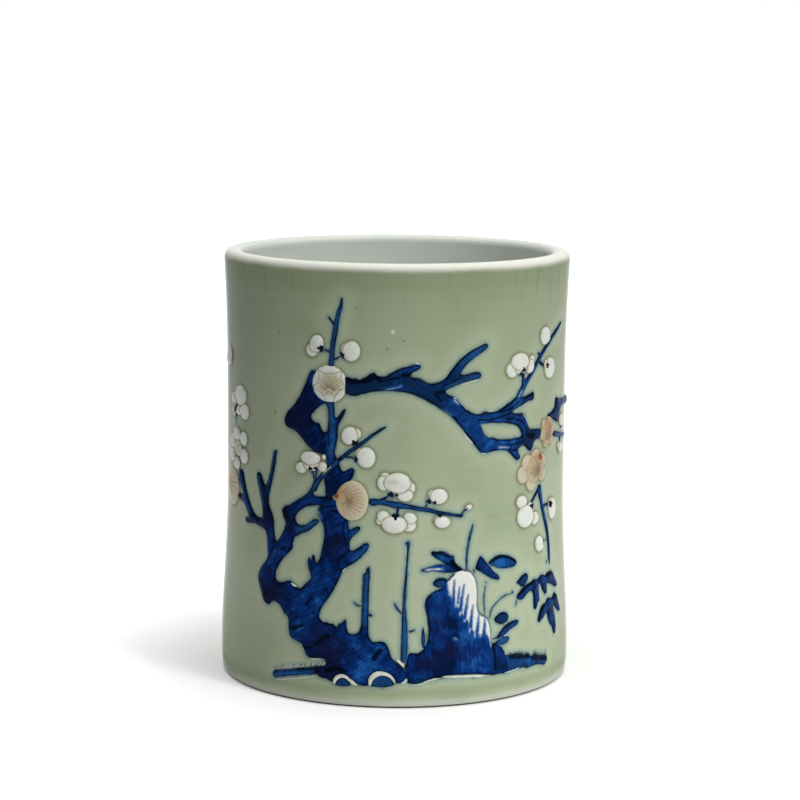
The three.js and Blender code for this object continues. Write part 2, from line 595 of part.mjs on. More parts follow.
function layLeaves() {
  const { cobalt } = materials;
  const leaves = {
    leaf_rock_high: [
      [10.9, 48.2, 0.6], [13.5, 47.4, 1.7], [16.2, 46, 2.9], [17.9, 44.6, 2.7], [19, 43.2, 1.4],
    ],
    leaf_rock_low: [[8, 42.8, 0.5], [11, 43.1, 1.8], [14.2, 43.2, 2.2], [16.2, 42.6, 1.2]],
    leaf_rock_bent: [
      [34.1, 38.8, 0.6], [31.5, 40.6, 2.4], [29, 42.8, 3.4], [27.2, 44.6, 2.4], [26.4, 45.2, 1],
    ],
    leaf_rock_broad: [[30.7, 43.9, 0.8], [33, 43.7, 2.8], [36, 43.7, 4.1], [39, 43.4, 3], [41.1, 42.8, 0.9]],
    leaf_foot_long: [[32.4, 20.5, 0.7], [35.5, 22, 2], [38.5, 23.4, 2], [41, 24.4, 0.7]],
    leaf_foot_short: [[32.2, 19.2, 0.6], [34.3, 19.1, 1.4], [37.6, 20, 0.6]],
    leaf_round: [[32.2, 26.1, 1.2], [33.6, 26.1, 3], [35.6, 26.1, 3.2], [37.1, 26.1, 1.4]],
    leaf_curled: [[41.6, 36.3, 1], [43.2, 36.9, 2.6], [44.8, 37.3, 2.8], [46, 37.4, 1.2]],
  };
  Object.entries(leaves).forEach(([name, stations]) => lay(name, cobalt, limb(stations, leafHeight)));
  const blade = (root, tip, width) => limb([
    [...root, 0.7],
    [lerp(root[0], tip[0], 0.45), lerp(root[1], tip[1], 0.45), width],
    [...tip, 0.5],
  ], leafHeight);
  lay("bamboo_upper", cobalt, pressed(
    limb([[44.6, 33.9, 0.9], [50, 36, 1], [55, 36.6, 1], [59.6, 36, 0.8]], leafHeight),
    blade([46.5, 34.6], [40.9, 30.2], 2.3),
    blade([50, 36], [49.7, 27], 2.7),
    blade([53.5, 36.6], [55.8, 30.4], 2.6),
    blade([57.5, 36.4], [64.2, 31.2], 2.7),
  ));
  lay("bamboo_lower", cobalt, pressed(
    limb([[55.4, 28, 0.9], [59, 28.6, 1.3], [63, 28.4, 0.8]], leafHeight),
    blade([57.5, 28.4], [51, 22.4], 2.6),
    blade([58.6, 28.5], [61.6, 16.6], 3),
    blade([61, 28.7], [66.3, 23], 2.6),
  ));
}

const body = new THREE.Mesh(merged(thrownPot()), materials.celadon);
body.name = "pot_body";
pot.add(body);

layBlossoms();
layBuds();
layTrunk();
layLeftBranches();
layRightBranches();
layGround();
layLeaves();

export default pot;
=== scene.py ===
"""A celadon brush pot, with a prunus tree, a rock and bamboo raised on it in slip"""

import json
import math

import bmesh
import bpy
import numpy as np
from bpy.props import FloatProperty, FloatVectorProperty, IntProperty, PointerProperty
from mathutils import Euler, Matrix, Vector

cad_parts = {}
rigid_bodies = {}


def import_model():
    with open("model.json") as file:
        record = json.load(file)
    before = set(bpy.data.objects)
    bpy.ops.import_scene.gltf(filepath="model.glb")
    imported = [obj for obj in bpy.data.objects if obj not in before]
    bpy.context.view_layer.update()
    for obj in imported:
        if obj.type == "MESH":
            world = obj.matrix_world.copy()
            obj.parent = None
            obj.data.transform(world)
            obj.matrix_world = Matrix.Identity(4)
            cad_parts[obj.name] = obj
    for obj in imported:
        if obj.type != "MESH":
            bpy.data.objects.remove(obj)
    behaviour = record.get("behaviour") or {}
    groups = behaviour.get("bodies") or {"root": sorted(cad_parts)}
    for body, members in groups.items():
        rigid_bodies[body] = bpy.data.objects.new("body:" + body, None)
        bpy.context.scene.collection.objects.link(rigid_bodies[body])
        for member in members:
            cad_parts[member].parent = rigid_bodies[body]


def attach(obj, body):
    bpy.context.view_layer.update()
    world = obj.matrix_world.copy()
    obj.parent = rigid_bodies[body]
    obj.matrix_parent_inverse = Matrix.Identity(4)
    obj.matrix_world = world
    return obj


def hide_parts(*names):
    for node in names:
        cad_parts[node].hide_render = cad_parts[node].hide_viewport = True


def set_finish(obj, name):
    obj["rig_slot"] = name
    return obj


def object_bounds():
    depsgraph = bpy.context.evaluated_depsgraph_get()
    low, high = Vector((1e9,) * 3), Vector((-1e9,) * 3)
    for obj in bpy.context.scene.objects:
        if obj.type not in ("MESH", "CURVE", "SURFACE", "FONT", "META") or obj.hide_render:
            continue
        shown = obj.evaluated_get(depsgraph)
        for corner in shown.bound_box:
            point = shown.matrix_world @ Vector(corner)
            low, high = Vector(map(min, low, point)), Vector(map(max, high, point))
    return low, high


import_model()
CAD_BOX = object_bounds()

bl_info = {
    "name": "Celadon brush pot",
    "version": (1, 0, 0),
    "blender": (4, 5, 0),
    "location": "3D View > Sidebar > Brush pot",
    "description": "Builds a celadon brush pot with prunus, rock and bamboo raised in slip",
    "category": "Add Mesh",
}

MM = 0.001
# The ornament is drawn on a sheet laid round the wall: u across and v up, in millimetres,
# with u nought in the middle of the front and one turn of the sheet at this radius
SHEET_RADIUS = 54.5
# Distances in millimetres: one that stands for nothing near, how far out a colour tints the wall
# beside it, the gap between two lines of hatching, how far off the wall slip has to stand to
# count as raised, and how far round from the middle the ornament goes
FAR = 9.0
HALO = 7.0
HATCH_GAP = 0.8
PROUD = 0.05
HALF_FRONT = 90.0
# Slots of the raised slip
BLUE = ("cobalt_slip",)
WHITE = ("white_slip", "buff_slip")


def linear(code):
    """A colour written as six hexadecimal digits, in the linear values that shaders take"""
    parts = [int(code[i : i + 2], 16) / 255 for i in (0, 2, 4)]
    return [p / 12.92 if p <= 0.04045 else ((p + 0.055) / 1.055) ** 2.4 for p in parts]


def length(name, description, default):
    """A size in metres, given in millimetres"""
    return FloatProperty(
        name=name, description=description, default=default * MM, min=0, precision=4, unit="LENGTH"
    )


def colour(name, description, code):
    """A colour that the user can change"""
    return FloatVectorProperty(
        name=name, description=description, default=linear(code), size=3, min=0, max=1, subtype="COLOR"
    )


class PotSizes(bpy.types.PropertyGroup):
    """Sizes of the thrown pot"""

    height: length("Height", "From the foot to the top of the lip", CAD_BOX[1][2] / MM)
    rim: length("Rim radius", "Outside radius under the lip", 55)
    waist: length("Waist radius", "Outside radius at the waist", 54.1)
    bulge: length("Bulge radius", "Outside radius just above the foot", 56)
    foot: length("Foot radius", "Outside radius at the table", 54.4)
    bulge_height: length("Bulge height", "Where the wall is widest", 8)
    waist_bottom: length("Waist bottom", "Where the waist begins", 62)
    waist_top: length("Waist top", "Where the wall starts to flare", 98)
    wall: length("Wall", "Thickness of the wall", 6)
    lip: length("Lip", "Height of the rounded lip", 3)
    ring: length("Foot ring", "Width of the bare ring that it stands on", 7)
    recess: length("Recess", "Depth of the base inside the foot ring", 2)
    floor: length("Floor", "Thickness of the floor", 8)
    fillet: length("Fillet", "Radius between the floor and the wall inside", 7)
    front_steps: IntProperty(
        name="Front steps", description="Facets round the front half", default=300, min=24
    )
    back_steps: IntProperty(
        name="Back steps", description="Facets round the back half", default=90, min=12
    )
    rise: length("Rise", "Height of one facet of the outer wall", 0.68)


class SlipSizes(bpy.types.PropertyGroup):
    """Sizes of the raised slip"""

    limb_grain: length("Limb grain", "Size of a facet on the tree, rock and leaves", 0.226)
    petal_grain: length("Petal grain", "Size of a facet on a flower", 0.16)
    sink: length("Sink", "How deep slip is keyed into the wall", 0.6)
    petal: length("Petal height", "How far a front petal stands off the wall", 1)
    meniscus: length("Meniscus", "How far glaze creeps up beside the slip", 0.05)
    stroke: FloatProperty(
        name="Stroke fullness", description="Height of a brush stroke over its width", default=0.4, min=0.05
    )


class Glazes(bpy.types.PropertyGroup):
    """Colours of the glazes, slips and pigments"""

    celadon: colour("Celadon", "Glaze of the outside", "a8b496")
    # Deep celadon also serves as painted shade towards the top of the wall
    celadon_deep: colour("Deep celadon", "Glaze where it pools", "78885f")
    celadon_pale: colour("Pale celadon", "Glaze where it runs thin", "c3ccae")
    # Painted shade: a darker celadon that stands in for the dimmer light up on the left of the wall
    celadon_far: colour("Thick celadon", "Glaze where it is thickest, up on the left", "7c8c78")
    bleed: colour("Bleed", "Celadon stained by the cobalt beside it", "6f9c9e")
    lip: colour("Lip", "Cream glaze of the lip", "eeeee2")
    inside: colour("Inside", "Pale glaze of the inside", "dfe6e0")
    foot: colour("Foot", "Glaze that runs thin over the foot", "cdd0c4")
    clay: colour("Clay", "Bare fired clay of the foot ring", "d9cdb8")
    # This dark colour also rings the rust spots on the flowers, and is painted as contact shadow along the
    # foot's lower edge
    burnt: colour("Burnt clay", "Dark edge of the foot where the glaze stops", "221e1a")
    stain: colour("Stain", "Iron stain in a glaze", "b0682c")
    ink: colour("Ink", "The darkest outlines", "020813")
    cobalt_deep: colour("Deep cobalt", "Cobalt where it is thick", "04183f")
    cobalt: colour("Cobalt", "Plain cobalt", "082f70")
    cobalt_bright: colour("Bright cobalt", "Cobalt where it is thin", "1f5da6")
    wash: colour("Wash", "A thin cobalt wash over celadon", "285f8e")
    plum: colour("Plum", "Cobalt with a purple cast", "15153a")
    # White also gives the painted highlights on the slip's edges, on the pale cobalt and on the petals
    white: colour("White slip", "Slip of the flowers and the snow", "e3e7df")
    # Cream is partly the tint of the slip and partly painted shade at the petals' edges and where petals
    # meet
    cream: colour("Cream", "Edges of the white petals", "bdb894")
    buff: colour("Buff slip", "Slip of the tinted flowers", "c4b592")
    amber: colour("Amber", "Tint of the buff flowers", "ad7c48")
    umber: colour("Umber", "Fine lines on the flowers", "7a664c")
    rust: colour("Rust", "Spots on the tinted flowers", "8f3d12")


class Studio(bpy.types.PropertyGroup):
    """The camera, the lamps and the table"""

    lens: length("Lens", "Focal length for a 36 mm wide sensor", 117.03)
    camera: FloatVectorProperty(
        name="Camera", description="Where the camera stands", default=(0.00125, -0.8272, 0.21024),
        size=3, subtype="TRANSLATION", unit="LENGTH",
    )
    pitch: FloatProperty(
        name="Pitch", description="How far the camera looks down", default=math.radians(8.468),
        subtype="ANGLE", unit="ROTATION",
    )
    roll: FloatProperty(
        name="Roll", description="How far the camera leans", default=math.radians(0.461),
        subtype="ANGLE", unit="ROTATION",
    )
    key: FloatProperty(
        name="Key", description="Watts of the flagged lamp aimed at the foot", default=29.5, min=0
    )
    fill: FloatProperty(name="Fill", description="Watts of the soft box on the right", default=2.2, min=0)
    top: FloatProperty(name="Top", description="Watts of the soft box above", default=11.5, min=0)
    sky: FloatProperty(name="Sky", description="Strength of the light from all round", default=0.02, min=0)
    table: colour("Table", "Colour of the table and the backdrop", "f4f4f4")
    glow: FloatProperty(
        name="Table white", description="White added to the table beside the pot", default=0.22, min=0
    )


def smooth(value, low, high):
    """Rises smoothly from 0 at low to 1 at high"""
    share = np.clip((np.asarray(value, float) - low) / (high - low), 0, 1)
    return share * share * (3 - 2 * share)


class Wall:
    """The thrown wall in millimetres, and the sheet of ornament that is bent round it"""

    def __init__(self):
        sizes = bpy.context.scene.pot_sizes
        for name in PotSizes.__annotations__:
            value = getattr(sizes, name)
            setattr(self, name, value if isinstance(value, int) else value / MM)
        self.shoulder = self.height - self.lip

    def radius(self, v):
        """Outside radius at a height"""
        v = np.asarray(v, float)
        low = np.clip(v / self.bulge_height, 0, 1)
        turned = self.foot + (self.bulge - self.foot) * np.cbrt(1 - (1 - low) ** 3)
        drawn = self.bulge + (self.waist - self.bulge) * smooth(v, self.bulge_height, self.waist_bottom)
        flare = np.clip((v - self.waist_top) / (self.shoulder - self.waist_top), 0, 1) ** 2
        opened = self.waist + (self.rim - self.waist) * flare
        return np.where(v < self.bulge_height, turned, np.where(v < self.waist_bottom, drawn, opened))

    def flat(self, places):
        """Places in metres as u, v and the distance off the wall"""
        u = np.arctan2(places[:, 0], -places[:, 1]) * SHEET_RADIUS
        v = places[:, 2] / MM
        return np.stack([u, v, np.hypot(places[:, 0], places[:, 1]) / MM - self.radius(v)], axis=1)

    def bent(self, sheet):
        """Places on the sheet, bent round the wall, in metres"""
        angle = sheet[:, 0] / SHEET_RADIUS
        reach = (self.radius(sheet[:, 1]) + sheet[:, 2]) * MM
        return np.stack([reach * np.sin(angle), -reach * np.cos(angle), sheet[:, 1] * MM], axis=1)


def places_of(mesh):
    """A mesh's points as rows of three"""
    flat = np.empty(len(mesh.vertices) * 3, np.float32)
    mesh.vertices.foreach_get("co", flat)
    return flat.reshape(-1, 3).astype(float)


def move_to(mesh, places):
    """Puts a mesh's points at these places"""
    mesh.vertices.foreach_set("co", places.astype(np.float32).ravel())
    mesh.update()


def note(mesh, name, values):
    """Writes a number for each point, which the glazes read"""
    layer = mesh.attributes.get(name) or mesh.attributes.new(name, "FLOAT", "POINT")
    layer.data.foreach_set("value", np.ascontiguousarray(values, dtype=np.float32))


def mesh_of(bm, name):
    """The mesh of a bmesh, which is freed"""
    mesh = bpy.data.meshes.new(name)
    bm.to_mesh(mesh)
    bm.free()
    return mesh


def solved(piece):
    """The mesh of a working object with its modifiers or bevel, after which the object goes"""
    bpy.context.scene.collection.objects.link(piece)
    made = bpy.data.meshes.new_from_object(piece.evaluated_get(bpy.context.evaluated_depsgraph_get()))
    bpy.data.objects.remove(piece)
    return made


def skinned(bm, grain):
    """The solids in a bmesh under one even skin"""
    block = bpy.data.objects.new("skin", mesh_of(bm, "skin"))
    skin = block.modifiers.new("Skin", "REMESH")
    skin.mode = "VOXEL"
    skin.voxel_size = grain
    return solved(block)


def relaxed(mesh, rounds):
    """Smooths a mesh's facets away"""
    bm = bmesh.new()
    bm.from_mesh(mesh)
    for _ in range(rounds):
        bmesh.ops.smooth_vert(
            bm, verts=bm.verts, factor=0.5, use_axis_x=True, use_axis_y=True, use_axis_z=True
        )
    bm.to_mesh(mesh)
    bm.free()
    return mesh


def swept(points, spacing=0.3):
    """A smooth path through a few points, as close points"""
    knots = np.array(points, float)
    if len(knots) == 1:
        return knots
    knots = np.vstack([2 * knots[0] - knots[1], knots, 2 * knots[-1] - knots[-2]])
    path = []
    for before, start, end, after in zip(knots, knots[1:], knots[2:], knots[3:]):
        count = max(2, int(np.linalg.norm(end - start) / spacing))
        t = np.linspace(0, 1, count, endpoint=False)[:, None]
        path.append(
            0.5
            * (
                2 * start
                + (end - before) * t
                + (2 * before - 5 * start + 4 * end - after) * t**2
                + (3 * start - before - 3 * end + after) * t**3
            )
        )
    return np.vstack([*path, knots[-2]])


def away_from(u, v, strokes):
    """Distance of each place from the nearest stroke's edge, below nought inside a stroke"""
    best = np.full(len(u), FAR)
    for start, end, points in strokes:
        path = swept(points, 0.5)
        half = np.linspace(start, end, len(path)) / 2
        near = (u > path[:, 0].min() - 4) & (u < path[:, 0].max() + 4)
        near &= (v > path[:, 1].min() - 4) & (v < path[:, 1].max() + 4)
        if not near.any():
            continue
        here = np.stack([u[near], v[near]], axis=1)
        closest = np.full(len(here), FAR)
        for i in range(max(1, len(path) - 1)):
            a, b = path[i], path[min(i + 1, len(path) - 1)]
            along = b - a
            share = np.clip((here - a) @ along / max(along @ along, 1e-9), 0, 1)
            gap = np.linalg.norm(here - a - share[:, None] * along, axis=1)
            closest = np.minimum(closest, gap - half[i])
        best[near] = np.minimum(best[near], closest)
    return best


def finished(name, mesh, material, slot, *nodes):
    """Makes a mesh a piece of the pot, standing for its nodes of the frame"""
    mesh.name = name
    mesh.materials.clear()
    mesh.materials.append(material)
    mesh.shade_smooth()
    piece = bpy.data.objects.new(name, mesh)
    bpy.context.scene.collection.objects.link(piece)
    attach(piece, "root")
    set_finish(piece, slot)
    if nodes:
        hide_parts(*nodes)
    return piece


class Nodes:
    """The nodes of a material or of the world, each made and wired in one call"""

    def __init__(self, owner):
        owner.use_nodes = True
        self.tree = owner.node_tree
        self.tree.nodes.clear()

    def node(self, kind, inputs=None, **settings):
        """A node with its settings, its values set and its links made"""
        made = self.tree.nodes.new(kind)
        for name, value in settings.items():
            setattr(made, name, value)
        for name, value in (inputs or {}).items():
            self.give(made.inputs[name], value)
        return made

    def give(self, socket, value):
        """Links a socket or sets its value"""
        if isinstance(value, bpy.types.NodeSocket):
            self.tree.links.new(value, socket)
        elif socket.type == "RGBA":
            socket.default_value = (*value[:3], 1)
        else:
            socket.default_value = value

    def sum(self, a, b):
        """Two numbers added"""
        return self.node("ShaderNodeMath", {0: a, 1: b}, operation="ADD").outputs[0]

    def times(self, a, b):
        """Two numbers multiplied"""
        return self.node("ShaderNodeMath", {0: a, 1: b}, operation="MULTIPLY").outputs[0]

    def greater(self, a, b):
        """The greater of two numbers"""
        return self.node("ShaderNodeMath", {0: a, 1: b}, operation="MAXIMUM").outputs[0]

    def span(self, value, start, end, first, last):
        """Goes smoothly from the first number to the last as a value goes from start to end"""
        inputs = {0: value, 1: start, 2: end, 3: first, 4: last}
        return self.node("ShaderNodeMapRange", inputs, interpolation_type="SMOOTHSTEP").outputs[0]


class Recipe(Nodes):
    """The nodes of one glaze, which work in millimetres"""

    def __init__(self, name):
        self.material = bpy.data.materials.get(name) or bpy.data.materials.new(name)
        super().__init__(self.material)
        self.shader = self.node("ShaderNodeBsdfPrincipled")
        self.node("ShaderNodeOutputMaterial", {"Surface": self.shader.outputs["BSDF"]})
        place = self.node("ShaderNodeTexCoord").outputs["Object"]
        inputs = {0: place, "Scale": 1 / MM}
        self.place = self.node("ShaderNodeVectorMath", inputs, operation="SCALE").outputs[0]
        self.x, self.y, self.z = self.node("ShaderNodeSeparateXYZ", {0: self.place}).outputs[:3]

    def noted(self, name):
        """A number written on the mesh"""
        return self.node("ShaderNodeAttribute", attribute_name=name).outputs["Fac"]

    def fade(self, value, low, high):
        """Rises smoothly from 0 at low to 1 at high, or falls where low is the higher"""
        if low < high:
            return self.span(value, low, high, 0, 1)
        return self.span(value, high, low, 1, 0)

    def mix(self, a, b, share):
        """Colour a turned to colour b by a share"""
        return self.node("ShaderNodeMix", {0: share, 6: a, 7: b}, data_type="RGBA").outputs[2]

    def grain(self, scale, stretch=(1, 1, 1), detail=3.0, roughness=0.5, place=None):
        """Noise round nought with this many bumps to a millimetre, drawn out by a stretch"""
        mapped = self.node("ShaderNodeMapping", {0: place or self.place, "Scale": stretch}).outputs[0]
        inputs = {"Vector": mapped, "Scale": scale, "Detail": detail, "Roughness": roughness}
        return self.sum(self.node("ShaderNodeTexNoise", inputs).outputs[0], -0.5)

    def spot(self, at, low, high):
        """1 at a place in millimetres, falling to nought between two distances"""
        gap = self.node("ShaderNodeVectorMath", {0: self.place, 1: at}, operation="DISTANCE")
        return self.fade(gap.outputs["Value"], high, low)

    def finish(self, base, rough, bump=None, depth=0.02, gloss=0.5):
        """Wires the colour, the roughness, the gloss and the bumps to the shader"""
        self.give(self.shader.inputs["Base Color"], base)
        self.give(self.shader.inputs["Roughness"], rough)
        facing = self.node("ShaderNodeLayerWeight", {"Blend": 0.5}).outputs["Facing"]
        inputs = {0: facing, 1: 0.35, 2: 0.8, 3: gloss, 4: 0.01}
        shine = self.node("ShaderNodeMapRange", inputs).outputs[0]
        self.give(self.shader.inputs["Specular IOR Level"], shine)
        if bump:
            inputs = {"Height": bump, "Strength": 0.6, "Distance": depth * MM}
            self.give(self.shader.inputs["Normal"], self.node("ShaderNodeBump", inputs).outputs[0])
        return self.material


# Dark specks in the celadon: u, v and radius
SPECKS = ((-12, 122.7, 0.45), (-39, 113.7, 0.5), (-2.8, 110.5, 0.5), (2.2, 113, 0.4), (-41, 88.7, 0.6))
# Dark specks inside the rim: x, y, z and radius
BORE_SPECKS = ((-1.9, 50.4, 128, 0.35), (24.5, 44.2, 128, 0.4), (32.4, 39, 127, 0.3), (-42, 30, 128, 0.35))


def celadon_glaze():
    """Celadon outside, cream on the lip, pale inside, bare on the foot ring"""
    hues = bpy.context.scene.glazes
    wall = Wall()
    mix = Recipe("celadon_glaze")
    cloud = mix.grain(0.035, (1, 1, 0.8))
    fine = mix.grain(0.9, detail=2)
    rings = mix.grain(0.5, (0.04, 0.04, 1), detail=4)
    tint = mix.sum(mix.sum(mix.times(cloud, 0.9), mix.times(fine, 0.12)), mix.times(rings, 0.25))
    base = mix.mix(hues.celadon, hues.celadon_pale, mix.fade(tint, 0, 0.45))
    base = mix.mix(base, hues.celadon_deep, mix.times(mix.fade(tint, 0, -0.45), 0.5))

    # Painted shade: the wall darkened up on the left, where less light falls
    far = mix.times(mix.fade(mix.x, -34, -54), mix.fade(mix.z, 55, 100))
    base = mix.mix(base, hues.celadon_far, mix.times(far, 0.75))
    # Painted shade: the celadon darkened towards the top of the wall
    base = mix.mix(base, hues.celadon_deep, mix.times(mix.fade(mix.z, 96, 128), 0.2))
    runs = mix.times(mix.fade(mix.grain(0.45, (1, 1, 0.12), detail=2), 0.04, 0.3), mix.fade(mix.z, 116, 131))
    base = mix.mix(base, hues.celadon_deep, mix.times(runs, 0.4))
    white_gap = mix.sum(mix.noted("to_white"), mix.times(fine, 0.3))
    blue_gap = mix.sum(mix.noted("to_blue"), mix.times(mix.grain(0.25), 2))
    base = mix.mix(base, hues.celadon_pale, mix.times(mix.fade(blue_gap, 6.5, 0.6), 0.34))
    base = mix.mix(base, hues.celadon_deep, mix.times(mix.fade(white_gap, 1.3, 0.1), 0.45))
    base = mix.mix(base, hues.umber, mix.times(mix.fade(white_gap, 0.45, 0.1), 0.3))
    blue_gap = mix.sum(mix.noted("to_blue"), mix.times(mix.grain(0.5), 0.9))
    base = mix.mix(base, hues.bleed, mix.times(mix.fade(blue_gap, 1.7, 0.1), 0.52))
    base = mix.mix(base, hues.cobalt_deep, mix.times(mix.fade(blue_gap, 0.45, 0), 0.5))

    for u, v, size in SPECKS:
        at = wall.bent(np.array([[u, v, 0.0]]))[0] / MM
        base = mix.mix(base, hues.celadon_deep, mix.times(mix.spot(at, size * 0.4, size * 1.5), 0.7))
    at = wall.bent(np.array([[-1, 115.7, 0.0]]))[0] / MM
    base = mix.mix(base, hues.lip, mix.times(mix.spot(at, 0.3, 0.9), 0.6))

    wavy = mix.sum(mix.z, mix.times(mix.grain(0.12), 1.6))
    pooled = mix.times(mix.fade(wavy, 3.4, 4.6), mix.fade(wavy, 8, 5.4))
    base = mix.mix(base, hues.celadon_deep, mix.times(pooled, 0.3))
    base = mix.mix(base, hues.foot, mix.times(mix.fade(wavy, 3.6, 1.6), 0.8))
    under_lip = mix.sum(mix.z, mix.times(mix.grain(0.08), 1.1))
    # Painted shade: a darker band just under the lip
    base = mix.mix(base, hues.celadon_deep, mix.times(mix.fade(under_lip, 124, 131), 0.25))
    base = mix.mix(base, hues.lip, mix.fade(under_lip, 133, 135.1))
    warm = mix.times(mix.fade(mix.x, -20, -56), mix.fade(mix.z, 133, 135))
    base = mix.mix(base, hues.cream, mix.times(warm, 0.12))

    reach = mix.node("ShaderNodeCombineXYZ", {0: mix.x, 1: mix.y}).outputs[0]
    reach = mix.node("ShaderNodeVectorMath", {0: reach}, operation="LENGTH").outputs["Value"]
    inner = mix.times(mix.fade(reach, 52.5, 50.4), mix.fade(mix.z, 3.5, 4.5))
    inside = mix.mix(hues.inside, hues.lip, mix.fade(mix.times(rings, 1.2), -0.2, 0.4))
    base = mix.mix(base, inside, inner)
    for *at, size in BORE_SPECKS:
        base = mix.mix(base, hues.ink, mix.times(mix.spot(at, size * 0.5, size * 1.3), 0.75))
    stain = mix.times(mix.spot((47.6, 21.5, 135), 0.3, 2.2), 0.45)
    base = mix.mix(base, hues.stain, stain)

    below = mix.fade(mix.z, 2.6, 2.3)
    hidden = mix.times(below, mix.fade(reach, wall.foot - 0.2, wall.foot - 1.2))
    base = mix.mix(base, hues.foot, mix.times(hidden, 0.9))
    # Painted shadow: a dark line along the foot's lower edge, where it meets the table
    rim = mix.times(mix.fade(mix.z, 0.75, 0.45), mix.fade(reach, wall.foot - 1, wall.foot - 0.4))
    base = mix.mix(base, hues.burnt, rim)
    bare = mix.times(mix.fade(mix.z, 0.3, 0.05), mix.fade(reach, wall.foot - 0.4, wall.foot - 1))
    bare = mix.times(bare, mix.fade(reach, 46.8, 47.4))
    clay = mix.mix(hues.clay, hues.umber, mix.fade(mix.grain(1.6), 0.1, 0.5))
    base = mix.mix(base, clay, bare)
    rough = mix.sum(mix.times(bare, 0.5), mix.sum(mix.times(fine, 0.04), 0.13))
    bump = mix.sum(mix.times(rings, 0.8), mix.sum(mix.times(cloud, 2), mix.times(fine, 0.25)))
    return mix.finish(base, rough, bump, 0.05, gloss=0.08)


def cobalt_slip():
    """Raised slip under cobalt: dark outlines, streaks along the brush and thin bright places"""
    hues = bpy.context.scene.glazes
    mix = Recipe("cobalt_slip")
    cloud = mix.grain(0.3, detail=4, roughness=0.6)
    fine = mix.grain(1.6, detail=3)
    hatch = mix.noted("hatch")
    along = mix.node("ShaderNodeCombineXYZ", {0: hatch, 1: mix.times(mix.z, 0.12)}).outputs[0]
    streak = mix.grain(1.4, detail=2, place=along)
    waves = mix.sum(mix.times(hatch, 2 * math.pi / HATCH_GAP), mix.times(fine, 4))
    lines = mix.node("ShaderNodeMath", {0: waves}, operation="SINE").outputs[0]
    wash = mix.noted("wash")
    tone = mix.noted("tone")
    for part, share in ((cloud, 1.8), (streak, 0.95), (fine, 0.5), (lines, 0.05), (wash, 0.2)):
        tone = mix.sum(tone, mix.times(part, share))
    base = mix.mix(hues.cobalt_deep, hues.cobalt, mix.fade(tone, 0.1, 0.55))
    base = mix.mix(base, hues.cobalt_bright, mix.fade(tone, 0.5, 1.15))
    base = mix.mix(base, hues.plum, mix.times(mix.noted("plum"), 0.65))
    edge = mix.sum(mix.times(mix.noted("edge"), mix.sum(mix.times(wash, 0.6), 1)), mix.times(fine, 0.5))
    base = mix.mix(base, hues.wash, mix.times(wash, mix.fade(edge, 0.3, 0.9)))
    outline = mix.fade(mix.sum(edge, mix.times(cloud, 0.9)), 1.05, 0.25)
    base = mix.mix(base, hues.ink, mix.times(outline, mix.noted("line")))
    knots = mix.sum(mix.noted("ink"), mix.times(fine, 0.7))
    base = mix.mix(base, hues.ink, mix.times(mix.fade(knots, 0.42, -0.15), 0.92))
    # The snow note carries the white slip of the snow on the rock, and also the painted highlights where the
    # blue runs out to pale
    snow = mix.sum(mix.noted("snow"), mix.times(fine, 0.7))
    base = mix.mix(base, hues.cobalt_bright, mix.times(mix.fade(snow, -1.1, 0.1), 0.8))
    base = mix.mix(base, hues.white, mix.fade(snow, -0.3, 0.65))
    rim = mix.times(mix.fade(mix.noted("edge"), 0.85, 0.3), mix.fade(mix.noted("snow"), -0.5, 0.3))
    base = mix.mix(base, hues.cobalt_deep, mix.times(rim, 0.9))
    rough = mix.sum(mix.times(fine, 0.1), 0.2)
    bump = mix.sum(cloud, mix.sum(mix.times(fine, 0.5), mix.times(streak, 0.7)))
    return mix.finish(base, rough, bump, 0.1, gloss=0.012)


def flower_slip(name, body, edges, heart):
    """White or buff slip, tinted towards its edges and heart, partly as painted shade, with a painted
    highlight round the heart and fine brown lines round its petals
    """
    hues = bpy.context.scene.glazes
    mix = Recipe(name)
    cloud = mix.grain(0.35)
    fine = mix.grain(1.6)
    base = mix.mix(body, edges, mix.times(mix.fade(cloud, 0.02, 0.3), 0.6))
    # Cream towards the edges and seams: partly the slip's own tint, partly painted shade where petals meet
    near = mix.greater(mix.fade(mix.noted("edge"), 0.9, 0.1), mix.fade(mix.noted("seam"), 0.7, 0.05))
    base = mix.mix(base, edges, mix.times(near, mix.sum(mix.times(fine, 0.8), 0.5)))
    middle = mix.fade(mix.sum(mix.noted("heart"), mix.times(cloud, 4)), 2.6, -0.6)
    base = mix.mix(base, heart, mix.times(middle, 0.9))
    # Painted highlight: the petals lighter in a ring round the heart
    outer = mix.times(mix.fade(mix.noted("heart"), 2, 5.5), mix.fade(mix.noted("heart"), 8.5, 7.5))
    base = mix.mix(base, hues.white, mix.times(outer, 0.3))
    base = mix.mix(base, hues.amber, mix.times(mix.noted("amber"), mix.sum(mix.times(cloud, 1.2), 0.6)))
    lines = mix.sum(mix.noted("ink"), mix.times(fine, 0.16))
    lines = mix.greater(mix.fade(lines, 0.12, -0.06), mix.fade(mix.noted("seam"), 0.18, 0.03))
    lines = mix.greater(lines, mix.times(mix.fade(mix.noted("edge"), 0.28, 0.08), 0.6))
    base = mix.mix(base, hues.umber, mix.times(lines, mix.sum(mix.times(cloud, 1.1), 0.75)))
    spot = mix.sum(mix.noted("spot"), mix.times(fine, 0.4))
    base = mix.mix(base, hues.amber, mix.times(mix.fade(spot, 0.9, 0.1), 0.7))
    base = mix.mix(base, hues.burnt, mix.times(mix.fade(spot, 0.25, 0), 0.8))
    base = mix.mix(base, hues.rust, mix.fade(spot, -0.05, -0.3))
    rough = mix.sum(mix.times(fine, 0.06), 0.16)
    return mix.finish(base, rough, mix.sum(cloud, mix.times(fine, 0.3)), 0.05, gloss=0.15)


